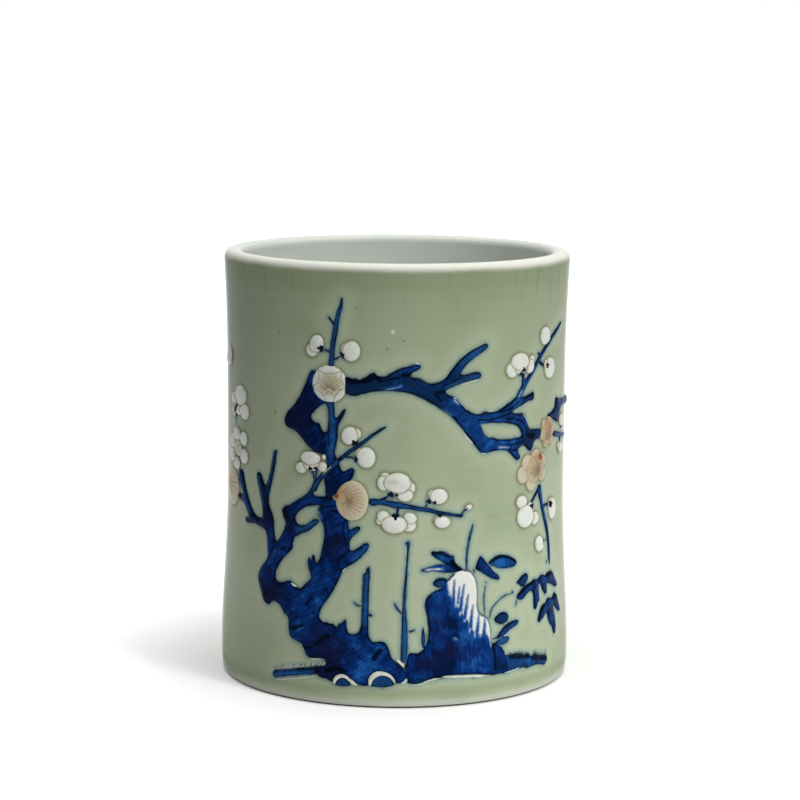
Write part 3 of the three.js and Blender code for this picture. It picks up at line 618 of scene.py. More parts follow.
def white_slip():
    """The slip of the white flowers, the buds and the rings of the roots"""
    hues = bpy.context.scene.glazes
    return flower_slip("white_slip", hues.white, hues.cream, hues.cream)


def stroke_glaze(name, dark, light):
    """One brush colour, thicker and thinner along the stroke"""
    mix = Recipe(name)
    cloud = mix.grain(0.6, detail=3)
    base = mix.mix(dark, light, mix.fade(cloud, -0.15, 0.3))
    return mix.finish(base, mix.sum(mix.times(cloud, 0.08), 0.16), cloud, 0.03, gloss=0.04)


# Places darker or brighter than plain cobalt: u, v, radius and how much
TONES = (
    (-23, 19, 5, -0.2), (-20, 11.4, 4.6, -0.8), (-41, 33, 6, -0.2), (-8, 14, 6, 0.25), (-30, 23, 4, 0.25),
    (-27, 30, 5, 0.15), (-18, 52, 3, -0.2), (-33, 88, 7, -0.5), (-27, 81, 5, -0.35), (-11, 99, 5, -0.9),
    (-18, 68, 5, -0.55), (2, 101, 4, -0.1), (21, 88, 4, 0.05), (33, 80, 4, 0.3), (40, 80, 3, 0.3),
    (30, 88.5, 4, 0.3), (46, 80, 3.5, -0.35), (7, 30, 5, 0.15), (7, 12, 4, -0.25), (15.6, 12, 2.6, -0.45),
    (16.6, 18, 2.4, -0.6), (16.6, 26, 2, -0.6), (24, 16, 5, 0.22), (22, 22, 3, 0.35), (19.6, 13, 2.5, 0.1),
    (28, 13, 4, 0.12), (13, 34, 4, 0.2), (-37.5, 47, 4, 0.15), (-45, 38, 4, 0.15), (36, 43.6, 3, 0.25),
    (12, 43.2, 2, 0.6), (16, 46, 3, 0.1), (38, 23, 4, 0.2), (50, 31, 6, 0.15), (60, 23, 6, 0.1),
    (-32, 8.6, 7, 0.45), (-20, 40, 4, 0.15), (34, 12, 3, -0.15), (34.8, 26, 2.5, -1.2), (44, 36.6, 2.5, -1),
    (-19, 46, 4, -0.15), (7, 99.6, 4, -0.2), (-9, 101.4, 3.5, -0.7), (-4, 98.6, 2, 0.5),
    (13, 96, 2.4, -0.5), (-3, 100, 4, -0.4), (8, 98, 5, -0.25), (-29, 95, 4, -0.4), (-36, 58, 2.4, -0.8),
    (-44, 56, 5, -0.35), (-48, 66, 4, -0.5), (-41, 73, 3, -0.4), (-8, 11, 3, 0.45), (-8.8, 31, 4, 0.2),
    (11, 12.4, 3.4, -0.15), (8, 9.4, 2.8, 0.5), (-15.4, 8, 1.6, -0.4), (-3.4, 9, 2, -0.4),
    (15, 24, 1.4, 0.5), (47.4, 81.2, 2.6, -0.8), (33.6, 43.6, 2.4, 0.5), (36.5, 26, 3, -0.4),
    (-23.4, 58.6, 1.4, 0.5), (-15.4, 71.6, 2, 0.35), (40, 12, 3, -0.1), (46, 11, 3, 0.3),
    (52, 10.6, 3, 0.2), (15, 46.6, 2, 0.3), (19, 43.4, 2, -0.6),
)
# Places with a purple cast: u, v, radius and how much
PLUMS = (
    (-23, 19, 5, 1), (-21, 10, 3.5, 1), (-41, 33, 6, 1), (-18, 18, 4, 1), (-17.5, 50, 4, 0.8),
    (-33, 89, 5, 0.8), (16.8, 18, 3, 1), (12, 26, 4, 0.9), (9, 14, 4, 0.6), (22, 18, 4, 0.4),
    (46, 79, 3, 1), (64, 89, 5, 1), (-43, 56, 6, 0.8), (-33.5, 54, 3, 1), (50, 30, 3, 0.8),
    (54, 33, 3, 0.8), (58, 24, 4, 0.9), (64, 27, 3, 0.8), (-60, 62, 4, 0.8), (49.5, 80.6, 3, 1),
)
# Thin translucent limbs, as strokes
WASHES = (
    (2.4, 2.2, ((-20.3, 104), (-19.4, 112), (-18.3, 118.4), (-16.4, 127))),
    (2.2, 1.8, ((-25.4, 66.6), (-22, 71.8), (-17.4, 76.2), (-9.6, 82.2), (-2.6, 87.2))),
    (3.2, 3.2, ((-8.7, 27), (-8.6, 44))),
    (2.6, 2.4, ((-20, 78), (-19.6, 86), (-20, 94))),
    (2.0, 1.8, ((-12.6, 46), (-8, 50.4))),
    (1.8, 1.8, ((-13, 53), (-10.6, 55.8))),
    (2.2, 2.0, ((-31, 53.4), (-24.4, 57))),
    (2.4, 2.2, ((-41.6, 60), (-42.6, 68), (-40.6, 77))),
    (2.6, 2.2, ((-46.6, 60), (-48.6, 68.6))),
    (2.8, 2.4, ((-53, 57), (-58, 65), (-60, 68))),
    (2.2, 2.0, ((16, 99), (26.6, 102))),
    (2.2, 2.2, ((20, 106), (28.6, 111))),
    (3.2, 2.6, ((40, 92), (46.6, 99.8), (57, 109.2), (68, 115))),
)
# Rust spots on the buff flowers: u, v and radius
SPOTS = ((-18, 65.2, 0.5), (52.2, 74.5, 0.9), (58.5, 83.2, 0.2))
# Amber tints on the flowers: u, v, radius and how much
AMBERS = (
    (-16.4, 67.4, 2.6, 0.9), (-17.6, 65, 2, 0.6), (-12, 66, 3, 0.35), (57, 84.2, 2.8, 0.8),
    (58.6, 82.8, 1.8, 0.7), (54.2, 79.4, 2, 0.3), (51.6, 74.6, 2.2, 1), (48.4, 74.6, 2.4, 0.5),
    (46, 70.6, 2.6, 0.4), (-66, 62, 3, 0.5), (-19.4, 98.8, 1.1, 0.35),
)
# Knots and dark places drawn on the tree, the rock and the leaves, as strokes
KNOTS = (
    (1.2, 0.5, ((-32.0, 22.9), (-30.6, 23.6), (-28.6, 24.2))),
    (0.5, 0.4, ((-28.2, 17.3), (-25.6, 17.8), (-23.2, 19.6), (-21.4, 21.4))),
    (1.3, 1.2, ((-5.8, 15.7), (-4.0, 18.4))),
    (1.1, 0.8, ((-43.4, 32.3), (-42.5, 32.1))),
    (0.5, 0.4, ((-45.2, 36), (-43.6, 32.8))),
    (1.0, 1.0, ((-36.8, 47), (-36, 47.4))),
    (1.3, 1.3, ((-20.4, 22), (-20.1, 22))),
    (1.3, 1.1, ((-20.4, 11), (-17.6, 12), (-14.8, 11.6))),
    (0.9, 0.6, ((-23.6, 9), (-23.2, 11.2))),
    (1.6, 0.8, ((-17.8, 78.6), (-17.2, 76.2))),
    (1.2, 1, ((-37, 58.6), (-35.6, 57))),
    (1.4, 1, ((-14.4, 100.4), (-9, 100.8), (-6.4, 102), (-4.6, 101.2))),
    (0.9, 0.6, ((2, 102.8), (4.2, 102.8))),
    (0.8, 0.4, ((12.6, 97.4), (15, 97.6))),
    (1.6, 1.6, ((46, 81.8), (48.4, 81.2))),
    (1.6, 1.2, ((17.9, 22.1), (19, 21.9))),
    (0.5, 0.4, ((31, 17.8), (31.8, 14), (31.6, 10.5))),
    (0.5, 0.3, ((-27.3, 30.8), (-25.4, 33.4))),
    (0.5, 0.3, ((12, 97), (13.6, 94.8))),
    (0.6, 0.3, ((27, 86), (29, 83.6), (31, 82.6))),
    (0.8, 0.5, ((11.6, 48.1), (14, 48.1), (17, 46.6))),
    (1.4, 1, ((17.4, 45.4), (18.6, 43.6), (20.6, 42.2))),
    (0.7, 0.6, ((31.4, 44.4), (34.4, 45.3), (38, 44.6), (40.4, 43.2))),
    (0.5, 0.4, ((41.4, 32.4), (45, 34.4), (48.6, 35.4))),
    (0.8, 0.5, ((56.6, 36), (59, 36.3), (61.2, 35.4), (62.6, 33.8))),
    (0.6, 0.5, ((51.4, 23.4), (52.8, 25.8), (54.4, 26.8))),
    (0.8, 0.5, ((61.4, 28.4), (63.4, 28), (65, 26))),
)
# Folds where one limb or leaf lies over another, as paths of u and v
FOLDS = (
    ((-27.2, 61.7), (-24, 61.9), (-21, 61.7), (-18.6, 61.9)), ((-25, 64.6), (-22, 64.7), (-19.2, 64.3)),
    ((-25.2, 66.2), (-21.6, 70.6), (-19.2, 73.2), (-17.4, 75)),
    ((-24.6, 70.2), (-21.8, 73), (-19.4, 75.4), (-17.4, 77.2)),
    ((-21.2, 92.6), (-20.8, 86), (-20.4, 80.6)), ((-22.8, 61), (-21.8, 57.6), (-21.2, 54)),
    ((-20, 60.4), (-18, 60.6), (-15.6, 58.4)), ((-15, 58), (-16, 55), (-15.2, 52), (-14.6, 49.4)),
    ((-14, 48.6), (-16.4, 46.4), (-17.4, 43.4)), ((-40.4, 47.8), (-41.6, 44.6), (-43, 42.2)),
    ((-35.8, 59), (-34.8, 57.6), (-34.6, 56)), ((-33.4, 56.4), (-33.8, 54.6), (-33.4, 52.4)),
    ((-41.6, 40.6), (-41, 38), (-39.6, 35.6), (-37.6, 35)),
    ((5.4, 103), (1.4, 102.2), (-2, 101.4), (-5, 100.6)),
    ((20.6, 103.2), (18.8, 101.4), (16.8, 100.2), (14.4, 99.4)),
    ((25.6, 88.4), (29, 88.2), (33, 88.6), (36.2, 89.4), (39, 90)),
    ((33, 90.2), (36.4, 90.6), (38.8, 91.4), (41, 92.8)), ((42.2, 93.6), (43.6, 95.6), (45.6, 98)),
    ((36, 88.2), (40, 87.6), (42.8, 86.4), (44.4, 84.2), (45, 82.4)),
    ((33, 80.2), (36, 79.8), (40, 79.8), (43.6, 80.4)), ((36.8, 78.6), (39, 78), (41.6, 78.2)),
    ((49, 35), (49, 33), (48.4, 32)), ((51.8, 35.4), (52, 33.8)), ((56.4, 35.8), (57, 34.2)),
    ((55.8, 27.2), (56.4, 25), (57.2, 22.6)), ((60.4, 27.6), (61, 25.6)),
    ((14.6, 45.2), (17, 44.4), (19, 43.2)),
)
# Places where the blue runs out to pale, partly thin cobalt and partly painted highlights and reflections,
# as strokes
PALE_AND_HIGHLIGHTS = (
    (1.1, 0.4, ((9.6, 43.1), (12.4, 43.2), (14.6, 43.1))),
    (0.7, 0.4, ((33.6, 79.4), (35.6, 79.2), (37, 78.9))),
    (0.4, 0.3, ((18.1, 21.7), (18.8, 21.3))),
    (0.4, 0.3, ((-24, 60), (-23.2, 57.6))),
    (0.4, 0.2, ((-3, 98.2), (-0.4, 98.8), (1.6, 99.5))),
    (0.5, 0.3, ((14.4, 91.8), (17, 90.2))),
    (0.7, 0.5, ((18, 94.8), (19.2, 93.8))),
    (0.4, 0.3, ((41.4, 94.4), (42.8, 96))),
)
# Where the snow on the rock ends, the blue strokes that run up into it and the white ones that run down
SNOW_EDGE = (
    (15.6, 41), (16.4, 36.6), (17.2, 34.4), (18.4, 32.4), (19.8, 30.6), (21, 28.6), (22.6, 26.4),
    (24.2, 23.4), (26.3, 22.2), (28.4, 22), (29.6, 20.6), (30.8, 18),
)
SNOW_SPIKES = (
    (1.1, 0.1, ((17.8, 32.6), (17.9, 35.6), (18.2, 39.6))),
    (0.6, 0.1, ((19.2, 32.6), (19.5, 35), (19.8, 37.4))),
    (1.2, 0.1, ((20, 30.4), (20.5, 34), (21.3, 38))),
    (1.1, 0.1, ((21.3, 27.8), (21.9, 31), (22.6, 34.8))),
    (1.2, 0.1, ((23.2, 24.8), (23.6, 28), (24.1, 31.4))),
    (1.1, 0.1, ((25.3, 22.6), (25.7, 25.4), (26.1, 28.4))),
    (1.2, 0.1, ((27.7, 21.6), (27.9, 24.4), (28.2, 27.2))),
)
SNOW_FINGERS = (
    (1.2, 0.2, ((16.9, 37.4), (16.6, 35.4))), (1.8, 0.2, ((19.2, 37), (18.9, 34), (18.5, 31.4))),
    (1.7, 0.2, ((20.9, 33.4), (20.3, 30.6), (19.9, 28.8))),
    (1.8, 0.2, ((22.6, 31), (21.9, 28.6), (21.3, 26.8))),
    (1.9, 0.2, ((24.2, 28.4), (23.3, 25.4), (22.9, 23.2))),
    (1.6, 0.2, ((25.4, 26.4), (24.9, 23.6), (24.6, 21.4))),
    (1.8, 0.2, ((27, 26), (26.7, 23.6), (26.5, 21.6))),
    (1.7, 0.3, ((29.3, 23.6), (29.9, 21), (30.4, 18.2))),
)


def folds():
    """The folds as strokes"""
    return tuple((0.3, 0.24, path) for path in FOLDS)


def blobs(u, v, places):
    """The soft round tints of a table at each place, summed"""
    return sum(a * np.exp(-((u - x) ** 2 + (v - y) ** 2) / r**2) for x, y, r, a in places)


class SheetMap:
    """The front of the sheet as a grid of small cells, for distances between shapes"""

    step = 0.12
    half = 100.0
    swell = 0.3
    shrink = 0.22

    def __init__(self, top):
        self.shape = (int(top / self.step) + 2, int(2 * self.half / self.step) + 2)

    def cells(self, u, v):
        """Row and column of each place"""
        rows = np.clip(np.rint(v / self.step), 0, self.shape[0] - 1).astype(int)
        columns = np.clip(np.rint((u + self.half) / self.step), 0, self.shape[1] - 1).astype(int)
        return rows, columns

    def away(self, marked, reach):
        """Distance of each cell from the nearest marked one, up to a reach"""
        index = np.arange(self.shape[1])
        far = 10 * self.shape[1]
        before = np.maximum.accumulate(np.where(marked, index, -far), axis=1)
        after = np.minimum.accumulate(np.where(marked, index, far)[:, ::-1], axis=1)[:, ::-1]
        row_gap = np.minimum(index - before, after - index).astype(np.float32) ** 2
        best = row_gap.copy()
        for shift in range(1, int(reach / self.step) + 1):
            np.minimum(best[shift:], row_gap[:-shift] + shift**2, out=best[shift:])
            np.minimum(best[:-shift], row_gap[shift:] + shift**2, out=best[:-shift])
        return np.minimum(np.sqrt(best) * self.step, reach)

    def covered(self, u, v):
        """The cells that a close set of points covers, with small gaps closed"""
        marked = np.zeros(self.shape, bool)
        marked[self.cells(u, v)] = True
        grown = self.away(marked, 1) < self.swell
        return self.away(~grown, 1) > self.shrink

    def read(self, values, u, v):
        """A value at each place, between its four cells"""
        x = np.clip((u + self.half) / self.step, 0, self.shape[1] - 1.001)
        y = np.clip(v / self.step, 0, self.shape[0] - 1.001)
        column, row = x.astype(int), y.astype(int)
        x, y = x - column, y - row
        low = values[row, column] * (1 - x) + values[row, column + 1] * x
        high = values[row + 1, column] * (1 - x) + values[row + 1, column + 1] * x
        return low * (1 - y) + high * y


def raised_pieces(*slots):
    """The raised pieces made so far, of these slots"""
    return [o for o in bpy.context.scene.objects if o.get("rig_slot") in slots and "raised" in o]


def around(cells):
    """Nine views of a map: as it is, and shifted by a cell each way"""
    padded = np.pad(cells, 1, mode="edge")
    rows, columns = cells.shape
    return [padded[i : i + rows, j : j + columns] for i in range(3) for j in range(3)]


def height_map(wall):
    """How high the raised pieces stand off the wall, over the sheet"""
    grid = SheetMap(wall.height)
    high = np.zeros(grid.shape, np.float32)
    for piece in raised_pieces(*BLUE, *WHITE):
        u, v, off = wall.flat(places_of(piece.data)).T
        rows, columns = grid.cells(u, v)
        np.maximum.at(high, (rows, columns), off)
    for _ in range(2):
        high = np.where(high > 0.02, high, np.maximum.reduce(around(high)))
    for _ in range(2):
        high = sum(around(high)) / 9
    return grid, high


def slab(bm, loops, low, high):
    """Adds a flat shape, with holes where more loops are given, between two heights"""
    edges = []
    for loop in loops:
        path = swept([*loop[-2:], *loop, *loop[:2]], 0.3)
        start = np.argmin(np.linalg.norm(path - loop[0], axis=1))
        end = len(path) - 1 - np.argmin(np.linalg.norm(path[::-1] - loop[0], axis=1))
        verts = [bm.verts.new((*place, low)) for place in path[start:end]]
        edges += [bm.edges.new(pair) for pair in zip(verts, verts[1:] + verts[:1])]
    filled = bmesh.ops.triangle_fill(bm, use_beauty=True, edges=edges)["geom"]
    faces = [item for item in filled if isinstance(item, bmesh.types.BMFace)]
    raised = bmesh.ops.extrude_face_region(bm, geom=faces, use_keep_orig=True)["geom"]
    tops = [item for item in raised if isinstance(item, bmesh.types.BMVert)]
    bmesh.ops.translate(bm, verts=tops, vec=(0, 0, high - low))


def ropes(strokes, spacing=0.25):
    """Round strokes through stations of u, v and width, as a mesh on the flat sheet"""
    line = bpy.data.curves.new("ropes", "CURVE")
    line.dimensions = "3D"
    line.bevel_depth = 0.5
    line.bevel_resolution = 3
    line.use_fill_caps = True
    for stations in strokes:
        path = swept(stations, spacing)
        spline = line.splines.new("POLY")
        spline.points.add(len(path) - 1)
        for i, (point, (u, v, width)) in enumerate(zip(spline.points, path)):
            tip = min(i, len(path) - 1 - i)
            point.co = (u, v, 0, 1)
            point.radius = max(width, 0.1) * (0.5, 0.85, 1)[min(tip, 2)]
    mesh = solved(bpy.data.objects.new("ropes", line))
    bpy.data.curves.remove(line)
    return mesh


def modelled(fields, strokes, wall, high, hatch=(-0.5, 0.87), grain=None, rounds=3, ridge=0.02):
    """Slip modelled from flat shapes and strokes under one skin, crowned and bent round the wall"""
    sizes = bpy.context.scene.slip_sizes
    grain = grain or sizes.limb_grain / MM
    sink = sizes.sink / MM
    bm = bmesh.new()
    for loops in fields:
        slab(bm, loops, -sink, high)
    if strokes:
        mesh = ropes(strokes)
        sheet = places_of(mesh)
        up = sheet[:, 2]
        sheet[:, 2] = np.where(up > 0, high * (1 - np.exp(-up / 0.5)), -sink * smooth(-up, 0, 0.25))
        move_to(mesh, sheet)
        bm.from_mesh(mesh)
    bmesh.ops.recalc_face_normals(bm, faces=bm.faces)
    mesh = relaxed(skinned(bm, grain), rounds)
    sheet = places_of(mesh)
    u, v, off = sheet.T
    grid = SheetMap(wall.height)
    proud = off > PROUD
    edge = grid.read(grid.away(~grid.covered(u[proud], v[proud]), 2.5), u, v)
    lean = u * hatch[0] + v * hatch[1]
    waves = ((1.3, 0.4, 1), (-0.7, 1.1, 2), (0.3, -1.7, 4), (2.1, 1.3, 3))
    lumps = sum(np.sin(u * a + v * b + c) for a, b, c in waves)
    share = 0.6 + 0.4 * smooth(edge, 0, 1.9)
    bark = ridge * (lumps + 1.1 * np.sin(lean * 2 * math.pi / HATCH_GAP + lumps)) * smooth(edge, 0.4, 1.0)
    bed = [inside_petal(u, v, one) for petals, *_ in FLOWERS.values() for one in petals]
    clear = 0.3 + 0.7 * smooth(np.minimum.reduce(bed), 0.86, 1.02)
    groove = 0.16 * smooth(-away_from(u, v, folds()), -0.45, 0.1)
    sheet[:, 2] = np.where(proud, np.minimum((off * share + bark - groove * off) * clear, high), off)
    note(mesh, "hatch", lean)
    move_to(mesh, wall.bent(sheet))
    return mesh


def lay_pieces(pieces, wall):
    """Makes a table's cobalt pieces: name, nodes, height, wash, hatching, flat shapes and strokes"""
    material = cobalt_slip()
    for name, nodes, high, wash, hatch, fields, strokes in pieces:
        mesh = modelled(fields, strokes, wall, high, hatch)
        piece = finished(name, mesh, material, "cobalt_slip", *nodes)
        piece["raised"] = 1
        piece["wash"] = wash


def petal(bm, rise, u, v, across, tall, turn=0):
    """Adds a cushioned petal to the flat sheet"""
    made = bmesh.ops.create_uvsphere(bm, u_segments=28, v_segments=18, radius=1)["verts"]
    for vert in made:
        vert.co.z = math.copysign(abs(vert.co.z) ** 0.75, vert.co.z)
    shape = Matrix.Translation((u, v, 0)) @ Matrix.Rotation(math.radians(turn), 4, "Z")
    shape = shape @ Matrix.Diagonal((across, tall, rise, 1))
    bmesh.ops.transform(bm, matrix=shape, verts=made)


def inside_petal(u, v, one):
    """How far out in a petal each place is: 0 in its middle and 1 on its edge"""
    middle_u, middle_v, across, tall, *turn = one
    lean = math.radians(turn[0] if turn else 0)
    x = (u - middle_u) * math.cos(lean) + (v - middle_v) * math.sin(lean)
    y = (v - middle_v) * math.cos(lean) - (u - middle_u) * math.sin(lean)
    return np.hypot(x / across, y / tall)


def flower_mesh(petals, veins, heart, wall):
    """Petals in order from back to front, under one skin, with their seams and veins noted"""
    sizes = bpy.context.scene.slip_sizes
    full = sizes.petal / MM
    sink = sizes.sink / MM
    bm = bmesh.new()
    for order, one in enumerate(petals):
        share = (order + 1) / len(petals)
        petal(bm, full * (0.72 + 0.28 * share), *one)
    mesh = relaxed(skinned(bm, sizes.petal_grain / MM), 2)
    sheet = places_of(mesh)
    sheet[:, 2] = np.maximum(sheet[:, 2], -sink)
    u, v = sheet[:, 0], sheet[:, 1]
    seam = np.full(len(sheet), FAR)
    for order, one in enumerate(petals):
        gap = np.abs(1 - inside_petal(u, v, one)) * min(one[2], one[3])
        for later in petals[order + 1 :]:
            gap = np.where(inside_petal(u, v, later) < 0.98, FAR, gap)
        seam = np.minimum(seam, gap)
    ink = away_from(u, v, veins)
    note(mesh, "seam", seam)
    note(mesh, "ink", ink)
    from_heart = np.hypot(u - heart[0], v - heart[1]) - heart[2] if heart else np.full(len(u), FAR)
    note(mesh, "heart", from_heart)
    note(mesh, "spot", np.minimum.reduce([np.hypot(u - x, v - y) - r for x, y, r in SPOTS]))
    note(mesh, "amber", blobs(u, v, AMBERS))
    groove = 0.05 * smooth(-seam, -0.3, -0.05) + 0.03 * smooth(-ink, -0.25, 0)
    sheet[:, 2] -= groove * smooth(sheet[:, 2], 0.2, 0.5)
    move_to(mesh, wall.bent(sheet))
    return mesh


def fan(centre, ends, start=0.3, width=0.28):
    """Fine lines from a centre out to a row of ends, leaving it a little way out"""
    lines = []
    for end in ends:
        near = tuple(c + (e - c) * start for c, e in zip(centre, end))
        lines.append((width, width * 0.6, (near, end)))
    return tuple(lines)


def ring(u, v, radius, size, count, phase=0.0):
    """Round petals set evenly about a centre"""
    angles = [math.radians(phase + 360 * i / count) for i in range(count)]
    return tuple((u + radius * math.cos(a), v + radius * math.sin(a), size, size) for a in angles)


# Outlines of the larger pieces and of the gaps in them, as u and v
TREE_OUTLINE = (
    (-47.5, 37.6), (-47.6, 36.2), (-47.1, 34.6), (-46.3, 33.1), (-45.4, 31.3), (-44.8, 30.1), (-43.9, 29.2),
    (-42.7, 28.7), (-41.9, 28.9), (-41.2, 29.8), (-40, 30.2), (-38.6, 29.9), (-37.4, 29.2), (-36.4, 28),
    (-35.7, 27), (-34.4, 26.3), (-33.8, 25), (-33.9, 23.6), (-33.6, 22), (-33.2, 20.6), (-32.4, 19.7),
    (-31.2, 19.3), (-30.1, 18.8), (-28.9, 18.5), (-28.3, 17.4), (-27.7, 16.1), (-26.8, 14.9), (-25.8, 14.4),
    (-24.2, 14.5), (-22.4, 14.8), (-20.6, 14.2), (-22.4, 12.9), (-24.2, 11.7), (-25.1, 10.8), (-24, 10),
    (-23, 9.1), (-22, 8.6), (-20.5, 8.5), (-19.2, 7.9), (-18.5, 7.7), (-18.2, 8.9), (-17.4, 9.8),
    (-16.4, 10.3), (-15.2, 10.4), (-14.1, 10), (-13.2, 9.3), (-12.4, 8.5), (-11.2, 7.9), (-9.6, 7.3),
    (-8, 7.1), (-7.5, 7.9), (-7.3, 9.4), (-6.4, 10.9), (-4.8, 11.8), (-2.7, 11.7), (-0.9, 10.9), (0.3, 9.6),
    (0.8, 8.4), (1.8, 8.2), (3, 8.8), (3.9, 10), (3.3, 11.8), (2.3, 13.4), (0.9, 14.6), (-0.4, 15.6),
    (-1.1, 17.2), (-1.6, 18.9), (-2.3, 20.3), (-3.1, 20.9), (-4.4, 21), (-5.6, 20.8), (-6.6, 21),
    (-7.2, 21.9), (-7.7, 23.6), (-7.7, 27), (-7.7, 31), (-7.7, 35), (-7.6, 38), (-7.4, 41), (-7.5, 43),
    (-7.9, 43.9), (-8.3, 43.2), (-8.6, 41.8), (-9, 41.9), (-9.4, 41), (-9.5, 38), (-9.6, 34), (-9.7, 29),
    (-9.8, 26.4), (-10.1, 24.8), (-10.7, 23.6), (-11.5, 23.1), (-12.4, 22.8), (-13.4, 23), (-14.1, 23.8),
    (-14.4, 25.2), (-14.5, 26.7), (-15, 27.2), (-15.5, 26.4), (-16.1, 26), (-16.7, 25.9), (-17, 24.8),
    (-17.8, 24.9), (-18.4, 25.5), (-19.1, 25.8), (-19.8, 25.5), (-20.6, 26), (-21.4, 25.8), (-22.3, 26.2),
    (-23.1, 27), (-23.3, 28), (-22.8, 29.4), (-22.1, 30.9), (-21.3, 32.2), (-20.3, 33.5), (-19.4, 35),
    (-18.5, 36.5), (-17.7, 38.1), (-16.9, 39.9), (-16.3, 41.4), (-15.5, 42.7), (-14.4, 43.6), (-13, 44.4),
    (-11.4, 45.6), (-10, 46.9), (-8.8, 48.3), (-8, 49.6), (-7.8, 50.5), (-8.4, 51.1), (-9.3, 50.9),
    (-10.4, 50.1), (-11.6, 49.3), (-12.8, 48.6), (-13.7, 48.7), (-13.9, 50), (-13.8, 51.4), (-13.2, 52.5),
    (-12.1, 53.6), (-11.1, 54.7), (-10.5, 55.6), (-11, 56.1), (-12, 55.9), (-13, 55.3), (-14, 54.9),
    (-14.3, 56.2), (-14.4, 57.7), (-15, 59.2), (-16, 60.4), (-17, 61.4), (-17.2, 63), (-16.6, 65),
    (-15.6, 67.4), (-14.4, 69.4), (-13.4, 70.6), (-12.8, 72), (-12.6, 73.4), (-13.3, 74), (-14.6, 73.4),
    (-15.8, 72.8), (-16.6, 73), (-17.1, 74.2), (-17.6, 75.4), (-18.2, 76.4), (-18.8, 77.8), (-18.8, 79),
    (-18.5, 80.3), (-18.2, 81.8), (-17.9, 83.6), (-17.9, 85.6), (-17.6, 87.1), (-16.8, 88.4), (-16.1, 89.9),
    (-15.5, 91.3), (-15.7, 92), (-16.5, 91.2), (-17.3, 90.1), (-18.1, 89.1), (-18.8, 89.2), (-19, 91.2),
    (-19.2, 94), (-18.6, 98), (-22, 102.6), (-26.4, 103), (-27.1, 102.5), (-27.9, 101), (-28.7, 99.2),
    (-29.8, 97), (-31, 94.8), (-32.4, 92.8), (-34, 91), (-35.4, 89.8), (-36.3, 88.4), (-36.7, 86.8),
    (-36.4, 85.6), (-35.5, 84.9), (-34.2, 84.7), (-32.8, 84.2), (-31.5, 83.4), (-30.2, 82.3), (-29, 81),
    (-27.8, 79.9), (-26.6, 79), (-25.2, 78.3), (-23.6, 77.8), (-22, 77.4), (-21.4, 76), (-21.6, 74),
    (-22.3, 71.4), (-22, 69), (-21.8, 66.8), (-21.7, 65), (-22.3, 64.6), (-24, 64.5), (-25.4, 64.5),
    (-26.2, 65.4), (-25.4, 66.6), (-24.6, 68.2), (-23.4, 69.8), (-24.6, 70.3), (-25.5, 69.5), (-26.2, 68),
    (-27, 66.5), (-27.9, 65.3), (-29.1, 64.3), (-30.5, 63.4), (-31.8, 62.6), (-33.2, 61.8), (-34.6, 60.9),
    (-35.9, 60.4), (-37.1, 59.8), (-37.7, 58.9), (-37.3, 57.6), (-37, 56.5), (-36.2, 55.5), (-36.3, 54.2),
    (-36.8, 52.8), (-37.6, 51.4), (-38.6, 50), (-39.6, 48.8), (-40.3, 48.9), (-40.8, 50.4), (-41.2, 52.4),
    (-41.3, 54.2), (-41.7, 56), (-42.5, 57.6), (-43.4, 59), (-43.9, 60.6), (-43.8, 62.2), (-43.4, 63.8),
    (-42.8, 65.7), (-42.2, 67.7), (-41.6, 69.9), (-41, 72), (-40.6, 74), (-40.3, 75.8), (-40.2, 77),
    (-40.8, 77.1), (-41.6, 76), (-41.9, 74.4), (-42.4, 72.2), (-43, 69.8), (-43.8, 67.6), (-44.8, 65.9),
    (-45.7, 65.6), (-46.4, 66.4), (-47, 67.8), (-47.8, 68.9), (-48.8, 69.2), (-49.6, 68.6), (-49.5, 67.4),
    (-49, 65.8), (-48.4, 64), (-47.8, 62), (-47.2, 60.4), (-46.7, 58.6), (-46.5, 56.8), (-46.6, 55.4),
    (-48.6, 55), (-50.2, 55.4), (-51.7, 56.4), (-53.2, 58), (-54.6, 60), (-55.8, 62), (-56.8, 64),
    (-57.6, 66), (-58.4, 67.7), (-59.6, 68.5), (-60.8, 68.2), (-61.4, 67), (-61.9, 65.6), (-62, 64.3),
    (-60.8, 63.6), (-59.4, 63.3), (-58.5, 62.1), (-58, 60.7), (-60, 60.7), (-61.8, 60.6), (-62.2, 59.6),
    (-61, 58.9), (-58.9, 58.6), (-57.3, 58.1), (-56, 56.7), (-54.6, 55.2), (-54.2, 54.3), (-55.7, 54),
    (-56.2, 53.1), (-55.2, 52.4), (-53, 52.6), (-50.6, 52.8), (-48.2, 52.5), (-46.4, 52.2), (-45, 51.4),
    (-44.2, 50), (-43.9, 48.3), (-43.7, 46.6), (-43.4, 44.9), (-43.5, 43.3), (-44.3, 42), (-45.5, 40.7),
    (-46.6, 39.3),
)
ELBOW_GAP = (
    (-22.2, 93.4), (-23.4, 92.7), (-24.8, 91.6), (-26, 90.4), (-27, 88.9), (-26.4, 87.8), (-25.2, 87.1),
    (-24.1, 87), (-23.5, 85.9), (-22.9, 84.8), (-22, 84.3), (-21.3, 84.8), (-21, 86.5), (-20.9, 89),
    (-21, 91.3), (-21.5, 93.1),
)
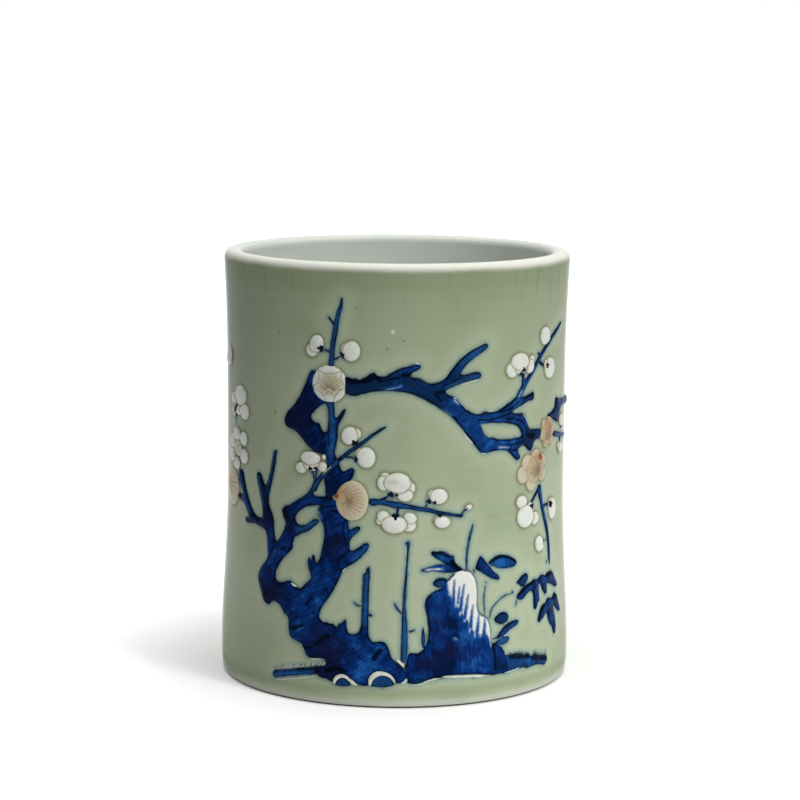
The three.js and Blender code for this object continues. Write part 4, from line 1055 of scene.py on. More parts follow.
BRANCH_GAP = (
    (-23.2, 61.6), (-23.6, 61.3), (-24.3, 60.6), (-24.3, 59.3), (-23.7, 57.9), (-22.9, 56.7), (-22.3, 55.4),
    (-22, 53.8), (-22.1, 52), (-22.4, 50), (-22.8, 48), (-23.2, 46.2), (-23.8, 44.6), (-24.6, 43.6),
    (-25, 44.4), (-25.3, 45.8), (-25.8, 46.4), (-26.2, 45.4), (-26.3, 44.2), (-26.8, 44.6), (-27.2, 45.4),
    (-27.5, 44.3), (-27.3, 42.9), (-26.9, 41.5), (-26.4, 40.2), (-26.1, 39.2), (-27, 38.1), (-28.2, 37.1),
    (-29.2, 36.1), (-30, 35.4), (-30.9, 35.5), (-31.8, 36), (-32.9, 36.6), (-33.9, 37.3), (-35, 37.2),
    (-36.2, 36.6), (-37.5, 36.3), (-38.8, 36.4), (-39.7, 37.1), (-39.9, 38.4), (-39.6, 39.9), (-38.9, 41.3),
    (-38, 42.6), (-36.8, 44), (-35.6, 45.2), (-34.3, 46.4), (-33.4, 47.5), (-33.4, 48.7), (-33.1, 49.9),
    (-32.7, 51), (-31.7, 51.6), (-30.5, 52.3), (-29, 52.9), (-27.2, 53.8), (-25.8, 54.9), (-24.7, 56),
    (-24.1, 56.9), (-24.5, 57.4), (-25.5, 57.3), (-26.6, 56.7), (-27.7, 55.8), (-28.9, 55.2), (-30.2, 54.9),
    (-31.4, 55.1), (-32.2, 55.9), (-32.6, 56.9), (-32.3, 57.9), (-31.5, 58.9), (-30.3, 59.9), (-29, 60.7),
    (-27.4, 61.3), (-25.6, 61.7), (-23.6, 61.9),
)
BOUGH_OUTLINE = (
    (-17, 101), (-14.6, 101.7), (-13.8, 101.3), (-12.9, 101.2), (-12.2, 101.4), (-11.2, 100.9),
    (-10.1, 101.4), (-9, 102), (-8, 102.8), (-7.2, 103), (-6.8, 103.5), (-6.3, 103), (-5.6, 102.4),
    (-4.6, 102.2), (-3.4, 102.2), (-2.2, 102.8), (-1, 103.6), (0.4, 104.3), (2, 104.9), (4, 105.4),
    (5.6, 105.8), (6.8, 105.9), (7.5, 105.5), (7.2, 104.8), (6.3, 104.1), (5.2, 103.6), (4.5, 102.9),
    (4.5, 102.2), (5.3, 101.9), (6.4, 101.8), (7.5, 101.5), (8.5, 100.8), (9.7, 100.2), (11, 100),
    (12.4, 100.2), (13.7, 100.6), (14.8, 101.2), (15.6, 102.1), (16.5, 103.3), (17.6, 104.6), (18.8, 106),
    (20.2, 107.4), (21.8, 108.6), (23.4, 109.6), (25, 110.3), (26.6, 110.9), (27.9, 111.5), (28.8, 111.4),
    (29.2, 110.7), (28.6, 110), (27.4, 109.2), (26, 108.4), (24.6, 107.5), (23.2, 106.6), (21.8, 105.4),
    (20.7, 104.1), (20, 103), (20.5, 102.4), (21.8, 102.4), (23.4, 102.8), (25, 103), (26.2, 102.9),
    (26.9, 102.2), (26.6, 101.3), (25.5, 100.9), (24, 100.7), (22.2, 100.4), (20.3, 99.9), (18.4, 99.2),
    (16.8, 98.6), (15.5, 98), (15.3, 97.3), (16, 96.6), (17.2, 96), (18.3, 95.4), (19.1, 94.7),
    (19.9, 93.7), (20.8, 92.9), (21.5, 92.2), (21.9, 91.6), (22.7, 91.5), (23.4, 90.9), (24.5, 90.4),
    (25.7, 90.1), (27, 90.1), (27.8, 90.5), (28.5, 90.8), (29.5, 90.4), (31, 90.3), (32.5, 90.4),
    (33.9, 90.9), (35.4, 91.6), (37, 92.4), (38.6, 93), (40, 93.9), (42, 93.9), (44, 94), (46, 94.3),
    (47.6, 94.7), (48.6, 95.1), (49, 94.2), (48.9, 93), (48, 92.6), (46.4, 92.5), (44.6, 92), (42.8, 91.4),
    (41, 90.8), (39.4, 90.2), (38.8, 89.8), (40, 89.2), (41.8, 89), (43.5, 88.8), (44.6, 88.1), (45.3, 87),
    (45.9, 85.8), (46.3, 84.5), (47.2, 83.6), (48.6, 83.4), (50.4, 83.3), (52.4, 83), (54, 82),
    (53.4, 80.6), (51.4, 80.1), (49.7, 79.7), (49, 78.9), (48.5, 77.7), (47.8, 76.9), (46.9, 76.9),
    (46.2, 77.6), (45.3, 78.4), (44.2, 78.9), (43, 78.8), (42.1, 78.3), (41.6, 77.5), (42, 76.5),
    (42.6, 75.5), (42.2, 74.8), (41.2, 74.7), (40.2, 75.4), (39, 76.5), (37.7, 77.6), (36.6, 78.1),
    (35, 78.4), (33.6, 78.5), (32, 78.4), (30.4, 78.2), (29, 77.9), (27.9, 78), (27, 78.5), (26.2, 79.3),
    (25.3, 80.4), (24.3, 81.7), (23.1, 83.1), (21.8, 84.7), (20.4, 86.4), (19, 88), (17.4, 89.6),
    (15.6, 91), (13.6, 92.4), (11.4, 93.7), (9.4, 94.9), (7.2, 96), (5, 96.9), (2.6, 97.5), (0, 97.8),
    (-2, 97.9), (-4, 97.9), (-6, 97.7), (-7.6, 97.4), (-9, 97), (-10.6, 96.6), (-12, 96.2), (-13.3, 96.1),
    (-14.3, 96.4), (-17, 98),
)
LOOP_GAP = (
    (26.9, 86.9), (28.6, 87.1), (30.6, 87.2), (32.8, 87), (35, 86.8), (37.4, 86.4), (39.6, 85.9),
    (41.2, 85.3), (42.4, 84.2), (43.2, 83), (43.3, 82), (42.4, 81.6), (40.6, 81.5), (38.4, 81.4),
    (36, 81.5), (34, 81.7), (32.5, 82.1), (31.6, 82.5), (30.4, 82.4), (29.2, 82.9), (28.3, 83.7),
    (27.6, 84.9), (27.1, 86),
)
ROCK_OUTLINE = (
    (4.1, 8.5), (3.9, 10), (3.4, 11.8), (3.4, 13.5), (3.9, 15.2), (4.2, 16.7), (4.9, 17.5), (5.9, 17.5),
    (6.9, 17.3), (7.9, 17.8), (8.9, 18.8), (9.7, 20.1), (10.2, 21.7), (10.4, 23.5), (10.3, 25.5),
    (10.1, 27.4), (9.9, 29.2), (9.5, 31), (9.3, 32.6), (9.6, 34), (10.3, 35), (11.3, 35.8), (12.3, 36.4),
    (13.4, 36.8), (14.5, 37.3), (15.4, 38), (16.2, 39.3), (17.3, 40.7), (18.7, 41.6), (20.4, 42.2),
    (22, 42.3), (23.4, 42), (24.4, 41.1), (25.2, 39.8), (25.7, 38), (25.9, 36), (25.9, 34), (25.8, 32),
    (25.9, 30.2), (26.4, 28.9), (27.3, 28), (28.3, 27.7), (29.1, 26.9), (29.8, 25.6), (30.2, 23.9),
    (30.4, 22), (30.5, 20), (30.8, 18.2), (31, 15), (31, 12), (30.6, 9.2), (28.6, 9.3), (26, 9.8),
    (22, 10.1), (18, 10.3), (15.2, 10.2), (13.6, 9.7), (12, 9.8), (10.4, 9.3), (9, 8.7), (7.6, 8.2), (6, 8),
)
BAMBOO_UPPER = (
    (41, 31.4), (41.4, 32.4), (42.6, 33.3), (44, 34.3), (45.4, 34.9), (47, 35.2), (48.4, 35.7), (49.8, 36),
    (50.8, 35.6), (51.7, 35.9), (52.7, 36.4), (54, 36.7), (55.2, 36.3), (56.2, 36), (57.1, 36.6),
    (58.4, 36.9), (60, 36.9), (61.2, 36.2), (62, 35), (63, 33.7), (64.3, 32.4), (64.4, 31.5), (63.1, 31.2),
    (61.6, 31.9), (60, 32.7), (58.6, 33.1), (57.4, 33.6), (56.9, 33.8), (56.6, 32.6), (56.5, 31.4),
    (56.2, 30.5), (55.4, 30.3), (54.6, 31.2), (53.8, 32.4), (53, 33.9), (52.2, 34.3), (51.6, 33.6),
    (51.6, 32.2), (51.7, 30.4), (51.9, 28.7), (51.3, 29), (50.9, 28.2), (50.4, 27.2), (49.8, 26.5),
    (49.1, 26.9), (48.9, 28.4), (48.9, 30), (48.8, 31.4), (48.3, 32.4), (47.4, 32.9), (46, 32.3),
    (44.6, 31.4), (43.2, 30.7), (41.9, 30.9),
)
BAMBOO_LOWER = (
    (50.9, 22.5), (51.2, 23.7), (51.8, 25), (52.8, 26.4), (54, 27.2), (55.4, 27.4), (56.2, 27.7),
    (56.8, 28.5), (58, 28.7), (59.4, 28.2), (60.4, 28.1), (61.2, 28.9), (62.4, 29.4), (63.6, 28.7),
    (64.6, 27.3), (65.4, 25.9), (66.2, 24.4), (66.8, 23.1), (65.7, 22.8), (64.4, 23.5), (63, 24.5),
    (61.8, 25.5), (60.9, 25.9), (60.8, 25), (61.3, 23.7), (61.9, 22.1), (62.2, 20.4), (62.4, 18.8),
    (62.1, 17.1), (61.4, 16.4), (60.7, 17.2), (60.1, 18.5), (59.3, 19.5), (58.4, 20.2), (57.6, 21.3),
    (57, 22.5), (56.6, 23.7), (56, 24.6), (55.2, 24.1), (54, 23.2), (52.6, 22.5), (51.6, 22.1),
)

SLANT = (-0.5, 0.87)
UPRIGHT = (1.0, 0.1)
# Raised cobalt pieces: name, nodes that each stands for, height, how thin the wash is, direction across
# the hatching, flat shapes (an outline and any holes) and strokes through stations of u, v and width
TREE = (
    (
        "prunus_tree",
        (
            "trunk", "trunk_upper", "branch_left", "branch_crossing", "branch_edge_left", "twig_top",
            "twig_middle", "stump_stem",
        ),
        0.9, 0.0, SLANT,
        (
            (TREE_OUTLINE, ELBOW_GAP, BRANCH_GAP),
        ),
        (
            ((-20.3, 104, 1.9), (-19.9, 108, 1.6), (-19.4, 112, 1.6), (-18.8, 115.4, 1.7),
             (-18.3, 118.4, 1.5),
             (-17.6, 121.2, 1.4), (-17, 123, 1.1), (-16.7, 124.6, 0.8), (-16.4, 126, 0.4)),
            ((-21, 119.6, 0.8), (-20.2, 118.8, 0.6), (-19.2, 117.4, 0.6)),
            ((-25.7, 66, 1.2), (-24.2, 69.4, 1.5), (-22, 72, 1.7), (-19.6, 74.3, 1.6), (-17.4, 76.3, 1.3),
             (-15, 78.2, 1.2), (-12.4, 80.2, 1.3), (-9.6, 82.2, 1.2), (-6.8, 84.4, 1), (-4.4, 86, 0.8),
             (-2.6, 87.2, 0.4)),
        ),
    ),
    (
        "bough_and_loop",
        ("bough", "bough_loop", "twig_upper"),
        0.9, 0.12, SLANT,
        (
            (BOUGH_OUTLINE, LOOP_GAP),
        ),
        (
            ((40.6, 93.2, 1.5), (42.4, 95.3, 2.1), (44.4, 97.6, 2), (46.6, 99.8, 1.6), (49, 102.2, 1.5),
             (51, 104.4, 1.6), (53.6, 106.7, 1.6), (57, 109.2, 1.6), (60.6, 111.4, 1.5), (64, 113.1, 1.3),
             (66.6, 114.3, 1), (68.2, 114.9, 0.6)),
            ((44, 97.6, 1.6), (43.7, 100, 1.3), (43.4, 102.2, 1.3)),
            ((51.4, 104.6, 0.8), (53, 103.4, 1.1), (54.8, 102.6, 1)),
            ((50.8, 106.9, 1), (52, 106.4, 0.8)),
        ),
    ),
    (
        "twig_right_glazed", ("twig_right",), 0.9, 0.35, SLANT, (),
        (
            ((-8, 63.9, 1.6), (-6.4, 63.8, 2.3), (-4.6, 63.9, 1.7), (-2, 63.5, 1.8), (0.6, 63, 2.1),
             (3.4, 62.6, 1.6), (7, 61.9, 1.4), (10, 61.4, 1.4), (13, 60.6, 1.2), (16, 60, 1.1),
             (19, 59.4, 1), (20.8, 59.1, 0.9), (21.5, 59.2, 0.5)),
            ((-5.4, 64, 0.9), (-3.6, 64.9, 0.8), (-2, 65.6, 0.8)),
        ),
    ),
    (
        "branch_edge_right_glazed", ("branch_edge_right",), 0.85, 0.2, SLANT,
        (
            (
                (
                    (57.6, 86.6), (59, 87), (60.4, 87.2), (61.8, 87.9), (63, 88.3), (63.6, 90.3),
                    (64.2, 91.4), (65.6, 91.2), (67.4, 90.6), (70, 90.4), (74, 90), (78, 89.8), (83, 89.6),
                    (83.4, 87.4), (80, 87.2), (76, 87.7), (72, 88), (69.2, 87.5), (67.6, 86.5),
                    (66.7, 85.2), (66.2, 83.7), (64.7, 83.7), (63.4, 84.3), (62.1, 84.8), (61, 85.4),
                    (59.4, 85.6),
                ),
            ),
        ),
        (),
    ),
    (
        "twig_edge_right_glazed", ("twig_edge_right",), 0.85, 0.4, SLANT, (),
        (((61.6, 80.3, 1.6), (64, 79.9, 1.8), (68, 79.2, 1.6), (72, 78.4, 1.5), (76, 78, 1.3),
          (79, 77.6, 0.8)),
         ((69, 79, 0.9), (69, 77.2, 0.8))),
    ),
    (
        "stem_drooping_glazed", ("stem_drooping",), 0.85, 0.45, SLANT, (),
        (
            ((53, 65.4, 1.6), (53.2, 63.6, 2.2), (54, 60.8, 1.7), (55, 58, 1.6), (56.4, 54.4, 1.7),
             (57.8, 51, 1.7), (58.6, 47.6, 1.5), (59.1, 44, 1.4), (59.1, 41.4, 1.2), (59.4, 39, 0.5)),
            ((53, 64.4, 1.4), (51, 62.7, 1.1), (49.5, 61.1, 1), (48.6, 60.2, 1)),
            ((55.4, 58.1, 1.1), (57.6, 58.4, 1), (59, 58.3, 1)),
        ),
    ),
)
GROUND = (
    (
        "rock_glazed", ("rock",), 0.95, 0.0, UPRIGHT,
        (
            (ROCK_OUTLINE,),
        ),
        (),
    ),
    (
        "mound_glazed", ("mound",), 0.85, 0.05, UPRIGHT,
        (
            (
                (
                    (30.2, 18.2), (31.4, 18.7), (32.4, 18.4), (33.5, 17.8), (34.6, 16.8), (35.4, 15.6),
                    (35.9, 14.3), (37, 13.6), (37.4, 9), (34, 8.8), (31, 8.8), (30, 9.6), (30, 14),
                ),
            ),
        ),
        (),
    ),
    (
        "verge_right_glazed", ("verge_right",), 0.8, 0.3, UPRIGHT,
        (
            (
                (
                    (35.8, 9), (35.8, 13.8), (37.4, 14.1), (38.8, 13.7), (40, 14), (41.4, 13.8),
                    (42.8, 13.4), (44.1, 12.9), (45.3, 13.3), (46.2, 12.4), (47.8, 12), (49.4, 12),
                    (50.8, 11.6), (51.9, 11), (53.3, 11.2), (54.4, 10.6), (55.4, 10.4), (55.7, 9.6),
                    (55.4, 8.5), (54.5, 8), (53, 8.2), (51, 8.8), (48, 8.9), (45, 8.7), (43.8, 9.2),
                    (40, 9.2), (37.6, 9),
                ),
            ),
        ),
        (),
    ),
    (
        "verge_left_glazed", ("verge_left",), 0.8, 0.35, (0.9, -0.4),
        (
            (
                (
                    (-39.5, 6.6), (-39.8, 7.5), (-39.1, 8.4), (-37.6, 9.1), (-36, 9.7), (-34, 10),
                    (-31, 10.5), (-28, 10.8), (-26, 11.2), (-24.2, 11.3), (-23, 10.6), (-23.6, 9.6),
                    (-25.4, 9.2), (-28, 8.8), (-31, 8.2), (-34, 7.5), (-37, 6.8), (-38.6, 6.2),
                ),
            ),
        ),
        (),
    ),
    (
        "reed_tall_glazed", ("reed_tall",), 0.8, 0.6, UPRIGHT, (),
        (((2.8, 14.6, 1.6), (3, 17, 2), (3.1, 21, 2), (3.1, 25.6, 1.8), (3, 29.4, 1.4), (3, 33, 1),
          (3.2, 37, 0.9), (3.5, 41, 0.75), (3.8, 45, 0.65), (4, 48.4, 0.6), (4.2, 51, 0.9), (4.3, 52, 0.5)),
          ),
    ),
    (
        "reed_small_glazed", ("reed_small",), 0.8, 0.5, UPRIGHT, (),
        (((8.7, 25.4, 0.4), (8.7, 23.4, 1), (8.8, 21, 1.2), (9, 18.8, 0.8)),),
    ),
    (
        "root_hollows", (), 0.6, 0.35, UPRIGHT,
        (
            (((-17.6, 6.9), (-17.2, 8.3), (-16.2, 9.1), (-15, 9.2), (-13.9, 8.7), (-13.2, 7.8), (-13, 6.9),
              (-15.4, 6.6)),),
            (((-6.6, 7.2), (-6.2, 9), (-5, 10.3), (-3.4, 10.7), (-1.6, 10.1), (-0.5, 9), (0, 7.6),
              (-3, 6.9)),),
        ),
        (),
    ),
)
# White slip round the roots' hollow ends, as stations of u, v and width
ROOT_RINGS = {
    "root_arch_left": (
        (-18, 7, 0.9), (-17.7, 8.4, 1.4), (-16.7, 9.4, 1.5), (-15.3, 9.8, 1.4), (-14, 9.4, 1.3),
        (-13, 8.5, 1.2), (-12.2, 7.7, 1.2), (-10.8, 7.2, 0.7),
    ),
    "root_arch_right": (
        (-7.1, 7.2, 1), (-6.9, 9, 1.7), (-5.9, 10.4, 2), (-4.4, 11.2, 1.9), (-2.6, 11.1, 1.5),
        (-1, 10.3, 1.2), (-0.1, 9.2, 0.9), (0.4, 8.2, 0.5),
    ),
}
LEAVES = (
    (
        "leaf_rock_high_glazed", ("leaf_rock_high",), 0.8, 0.1, SLANT,
        (
            (
                (
                    (11.2, 48), (11.6, 48.7), (12.8, 48.5), (14, 48.6), (15.4, 48.3), (16.6, 47.6),
                    (17.6, 46.9), (18.2, 47.2), (18.4, 46.2), (18.6, 45.2), (19.3, 44.2), (20.4, 43.3),
                    (21.4, 42.5), (19.8, 42.1), (18.2, 42.2), (17.4, 42.9), (16.5, 43.8), (15.5, 44.7),
                    (14.4, 45.5), (13.2, 46.2), (12, 47),
                ),
            ),
        ),
        (),
    ),
    (
        "leaf_rock_low_glazed", ("leaf_rock_low",), 0.75, 0.1, UPRIGHT,
        (
            (
                (
                    (8, 42.9), (9.4, 43.5), (11, 44), (13, 44.4), (15, 44.5), (17, 44), (19, 43.2),
                    (19.6, 42.4), (18, 41.9), (15.6, 42), (13.4, 42.4), (11.4, 42.6), (9.6, 42.4),
                ),
            ),
            (((11.8, 38.7), (12.4, 39.8), (14, 40.4), (15.8, 40), (16.4, 39.2), (15.9, 38.1), (14.4, 37.5),
              (12.7, 37.8)),),
        ),
        (),
    ),
    (
        "leaf_rock_bent_glazed", ("leaf_rock_bent",), 0.8, 0.05, SLANT,
        (
            (
                (
                    (25.5, 42.5), (25.9, 43.7), (26.4, 44.9), (27, 46), (27.5, 46.1), (28.2, 45.4),
                    (29.2, 44.2), (30.2, 43), (31.2, 41.8), (32.2, 40.7), (33.4, 39.7), (34.2, 38.8),
                    (33.6, 38.3), (32.2, 38.6), (30.6, 39.3), (29, 40.3), (27.6, 41.2), (26.4, 41.9),
                ),
            ),
        ),
        (),
    ),
    (
        "leaf_rock_broad_glazed", ("leaf_rock_broad",), 0.75, 0.25, UPRIGHT,
        (
            (
                (
                    (30.2, 43.8), (31.2, 44.7), (32.6, 45.4), (34.2, 45.8), (36, 45.7), (37.8, 45.1),
                    (39.4, 44.4), (40.7, 43.6), (41.2, 42.7), (40.8, 41.9), (39.4, 41.5), (37.6, 41.4),
                    (35.8, 41.5), (34, 41.9), (32.6, 42.4), (31.2, 43),
                ),
            ),
        ),
        (),
    ),
    (
        "leaf_round_glazed", ("leaf_round",), 0.75, 0.2, UPRIGHT,
        (
            (((32, 25.9), (32.7, 26.9), (34, 27.7), (35.4, 27.9), (36.6, 27.4), (37.3, 26.4), (37, 25.3),
              (36, 24.6), (34.8, 24.3), (33.3, 24.7)),),
        ),
        (),
    ),
    (
        "leaf_curled_glazed", ("leaf_curled",), 0.75, 0.25, UPRIGHT,
        (
            (((41.2, 36.3), (42, 37), (43.2, 37.9), (44.4, 38.4), (45.4, 38.6), (46.2, 38), (46.1, 36.8),
              (45.4, 35.8), (44.6, 34.9), (43.6, 34.6), (42.6, 35.3)),),
        ),
        (),
    ),
    (
        "leaf_foot_long_glazed", ("leaf_foot_long",), 0.75, 0.25, UPRIGHT,
        (
            (((31, 19.9), (32.6, 20.3), (34, 21.8), (35.4, 23.1), (37, 24), (38.8, 24.5), (40.4, 24.7),
              (41.5, 24.3),
              (41, 23.4), (39.8, 22.8), (38.2, 22.3), (36.8, 21.4), (35.4, 20.6), (33.6, 20)),),
        ),
        (),
    ),
    (
        "leaf_foot_short_glazed", ("leaf_foot_short",), 0.75, 0.5, UPRIGHT,
        ((((32, 18.5), (33.4, 19.4), (35, 20), (36.4, 20.1), (37.5, 19.5), (36.9, 18.5), (35.4, 17.9),
           (33.8, 17.9)),),),
        (),
    ),
    (
        "bamboo_upper_glazed", ("bamboo_upper",), 0.75, 0.12, SLANT,
        (
            (BAMBOO_UPPER,),
        ),
        (),
    ),
    (
        "bamboo_lower_glazed", ("bamboo_lower",), 0.75, 0.12, SLANT,
        (
            (BAMBOO_LOWER,),
        ),
        (),
    ),
)

# Flowers: petals from back to front as u, v, half width, half height and turn; then fine lines;
# then the heart
FLOWERS = {
    "blossom_front": (
        ((-20.8, 99.3, 5.9, 5.8),),
        fan(
            (-20.4, 97),
            (
                (-24.6, 98.6), (-24.3, 99.8), (-23.6, 101), (-22.7, 101.8), (-21.7, 102.1), (-20.6, 101.8),
                (-19.6, 102), (-18.5, 102), (-17.6, 101.2), (-16.9, 100.2), (-16.5, 99.2), (-16.4, 98.2),
            ),
            0.25, 0.2,
        )
        + (
            (0.22, 0.22, ((-26.3, 98), (-24.6, 99.4), (-23.9, 101.2), (-24.3, 103.6))),
            (0.22, 0.22, ((-24.3, 103.6), (-22.6, 102.7), (-20.5, 102.5), (-18.4, 102.8), (-16.6, 103.6))),
            (0.22, 0.22, ((-16.6, 103.6), (-16.8, 101.6), (-16.2, 99.8), (-15, 98.6))),
            (0.22, 0.22, ((-15, 98.6), (-17, 97.6), (-18.4, 96), (-19.2, 94.1))),
            (0.22, 0.22, ((-26.3, 98), (-24, 97.2), (-22.4, 95.8), (-21.6, 94))),
            (0.22, 0.22, ((-21.8, 96), (-20.6, 97.1), (-19.2, 96.2))),
        ),
        (-20.2, 99.2, 2.6),
    ),
    "blossom_shell": (
        ((-17.4, 64.9, 2.2, 1.3, 10), (-13.4, 64, 5.3, 6.3)),
        fan(
            (-17.2, 65),
            (
                (-13.4, 69.4), (-12.2, 68.8), (-11, 67.8), (-10.1, 66.6), (-9.6, 65.4), (-9.4, 64.2),
                (-9.5, 63), (-9.9, 61.8), (-10.6, 60.6), (-11.8, 59.5), (-13.4, 58.8), (-15, 59),
            ),
            0.3, 0.2,
        ),
        (-13.8, 63.6, 0.2),
    ),
    "blossom_beside_trunk": (
        ((-22.8, 73.8, 1.7, 1.7), (-22.3, 76.9, 0.8, 1), (-30.2, 72.9, 2.2, 1.8), (-26.6, 74, 2.6, 1.9),
         (-27, 76.2, 3.7, 2.1)),
        (), None,
    ),
    "blossom_centre_upper": (
        ((-3.2, 72, 1.4, 1), (4.3, 68.2, 1.9, 2), (-3.7, 69.7, 1.9, 2.4), (3, 66, 2.6, 2),
         (0.7, 69.8, 4.1, 3.2)),
        (), None,
    ),
    "blossom_centre_lower": (
        ((-4.6, 58.2, 1.3, 1.3), (4.2, 56.8, 2.3, 2.1), (4.6, 59.1, 2.2, 1.7, -20), (-3.6, 59.6, 2, 1.7),
         (-0.2, 57, 4, 2.8)),
        (), None,
    ),
    "blossom_right_high": (
        ((47.6, 105.2, 1.3, 1.4), (46.6, 103.2, 2.2, 2.3), (38.5, 102.5, 2.5, 2.2, -25),
         (42.3, 102.9, 2.8, 1.7), (42, 105.1, 4, 2.7)),
        (), None,
    ),
    "blossom_buff_upper": (
        (*ring(57.3, 81.5, 3.1, 1.9, 6, 10), (57.3, 81.5, 3.7, 3.9)),
        fan(
            (57.3, 81.5),
            [(57.3 + 3 * math.cos(a), 81.5 + 3.4 * math.sin(a)) for a in np.arange(0.3, 6.3, 0.6)],
            0.4, 0.2,
        ),
        (57, 80.8, 0.9),
    ),
    "blossom_buff_lower": (
        (
            (54, 69, 2.5, 2.5), (48.3, 66.5, 2.6, 2.5), (44.2, 69.7, 2.8, 2.8), (46.3, 73.2, 2.9, 2.6),
            (50.6, 74.6, 2.7, 2.4), (53.9, 73, 2.2, 2.3), (49.7, 70.6, 4.4, 4.0),
        ),
        fan(
            (50.4, 70.4),
            ((46.4, 69.6), (46.6, 71.6), (47.8, 73.4), (50, 74), (52.8, 72.4), (53.2, 69.8), (51.2, 67.2),
             (48.6, 67.4)),
            0.45, 0.2,
        ),
        (50.6, 70.2, 1.2),
    ),
    "blossom_drooping": (
        ((50.3, 55.2, 2.3, 2.1), (47.8, 59, 1.9, 1.6), (43.6, 61.2, 2.6, 2.1), (45.5, 56.4, 4, 3.6)),
        (), None,
    ),
    "blossom_left_high": (
        ((-65.6, 90.3, 2.4, 2), (-65.2, 86.4, 1.9, 1.8), (-61.5, 87.6, 3.3, 2.2), (-57, 87.1, 2.9, 2.6),
         (-60, 91.9, 4.3, 3.2)),
        (), None,
    ),
    "blossom_left_open": (
        (
            (-67, 76.6, 2.5, 2.4), (-67.2, 72.4, 2.5, 2.4), (-62.8, 70, 2.4, 2.2), (-57.4, 73, 2.7, 2.5),
            (-57.7, 78.5, 2.5, 2.3), (-62.8, 79.3, 2.8, 2.2), (-61.7, 75, 2.8, 2.6),
        ),
        fan(
            (-61.5, 74.8),
            ((-66, 76.5), (-66, 73), (-63, 70.6), (-58, 73), (-58.2, 77.8), (-62.6, 78.8)),
            0.3,
        ),
        (-61.5, 74.8, 0.3),
    ),
    "blossom_left_shell": (
        (
            (-66.8, 62, 5.8, 6),
        ),
        fan(
            (-69.6, 63.3),
            ((-66, 66.8), (-64, 65.6), (-62.6, 63.8), (-62.2, 61.8), (-62.8, 59.8), (-64.6, 57.8)),
            0.35,
        ),
        (-69.4, 63.3, 0.1),
    ),
}
BUFF = ("blossom_shell", "blossom_buff_upper", "blossom_buff_lower", "blossom_left_shell")

BUDS = {
    "bud_top_left": ((-26.5, 109.4, 2.1, 2.1), (-24.9, 111.4, 2.4, 2.7, -20)),
    "bud_top_right": ((-15.5, 110.2, 1.6, 1.8), (-13.6, 109.6, 2.8, 3.2, -12)),
    "bud_trunk_upper": ((-12, 84.6, 1.6, 1.7), (-14.1, 83.9, 2.7, 2.9, -35)),
    "bud_trunk_lower": ((-10.7, 78.6, 1.6, 1.7), (-8.9, 77.4, 2.9, 3.3)),
    "bud_centre_upper": ((11.5, 66.1, 1.6, 1.6), (13.4, 65.5, 2.9, 2.5)),
    "bud_centre_lower": ((13.2, 58, 1.5, 1.4), (14.6, 57.5, 2.7, 1.9)),
    "bud_twig_tip": ((23.1, 61.7, 1.3, 0.9, 20),),
    "bud_right_upper": ((56.2, 110.9, 1.6, 1.4), (54.7, 111.9, 3, 2.9)),
    "bud_right_lower": ((56, 102.8, 1.7, 1.6), (58.3, 101.5, 3.5, 3.4)),
    "bud_drooping_right": ((60.5, 58.5, 1.7, 1.7), (61.7, 56.5, 2.9, 3.6)),
    "bud_drooping_low": ((53.7, 45.7, 1.4, 1.4), (52.6, 46.8, 2.4, 2.6)),
    "bud_edge_upper": ((72.4, 82.9, 1.7, 1.4), (70.2, 83.6, 3, 2.1)),
    "bud_edge_lower": ((67.2, 75.6, 1.4, 1.2), (69, 75, 2.7, 1.8)),
    "bud_left_edge": ((-73, 102.2, 1.8, 2), (-70.6, 103.2, 2.9, 3.1)),
}

# Sepals at the foot of a flower or bud: u, v, where they point in degrees and their length
SEPALS = (
    (-22.9, 109.9, 170, 1.7), (-16.9, 108.1, 25, 1.5), (-12.3, 81.3, 115, 1.6), (-12.5, 76.7, 0, 1.3),
    (-26.6, 72.6, 110, 1.3), (-25.1, 72.9, 60, 1.1), (-1.5, 65.7, 70, 1.7), (0.2, 60.2, 270, 1.8),
    (10.1, 63.6, 60, 1.3), (12, 63.5, 70, 0.9), (13.9, 60.2, 270, 1.3), (43.3, 101.9, 100, 1.6),
    (42.6, 101.4, 165, 1.1), (55.4, 102.4, 20, 1.4), (56.7, 109.8, 60, 0.8), (48.1, 60, 280, 1.7),
    (59.2, 58.2, 10, 1.8), (55.9, 47.1, 180, 1.0), (70.3, 81, 100, 1.0), (69, 77.8, 260, 1.0),
    (-63, 86.6, 110, 1.9), (-62.4, 88.2, 20, 1.5), (0.6, 65.9, 100, 0.7),
)
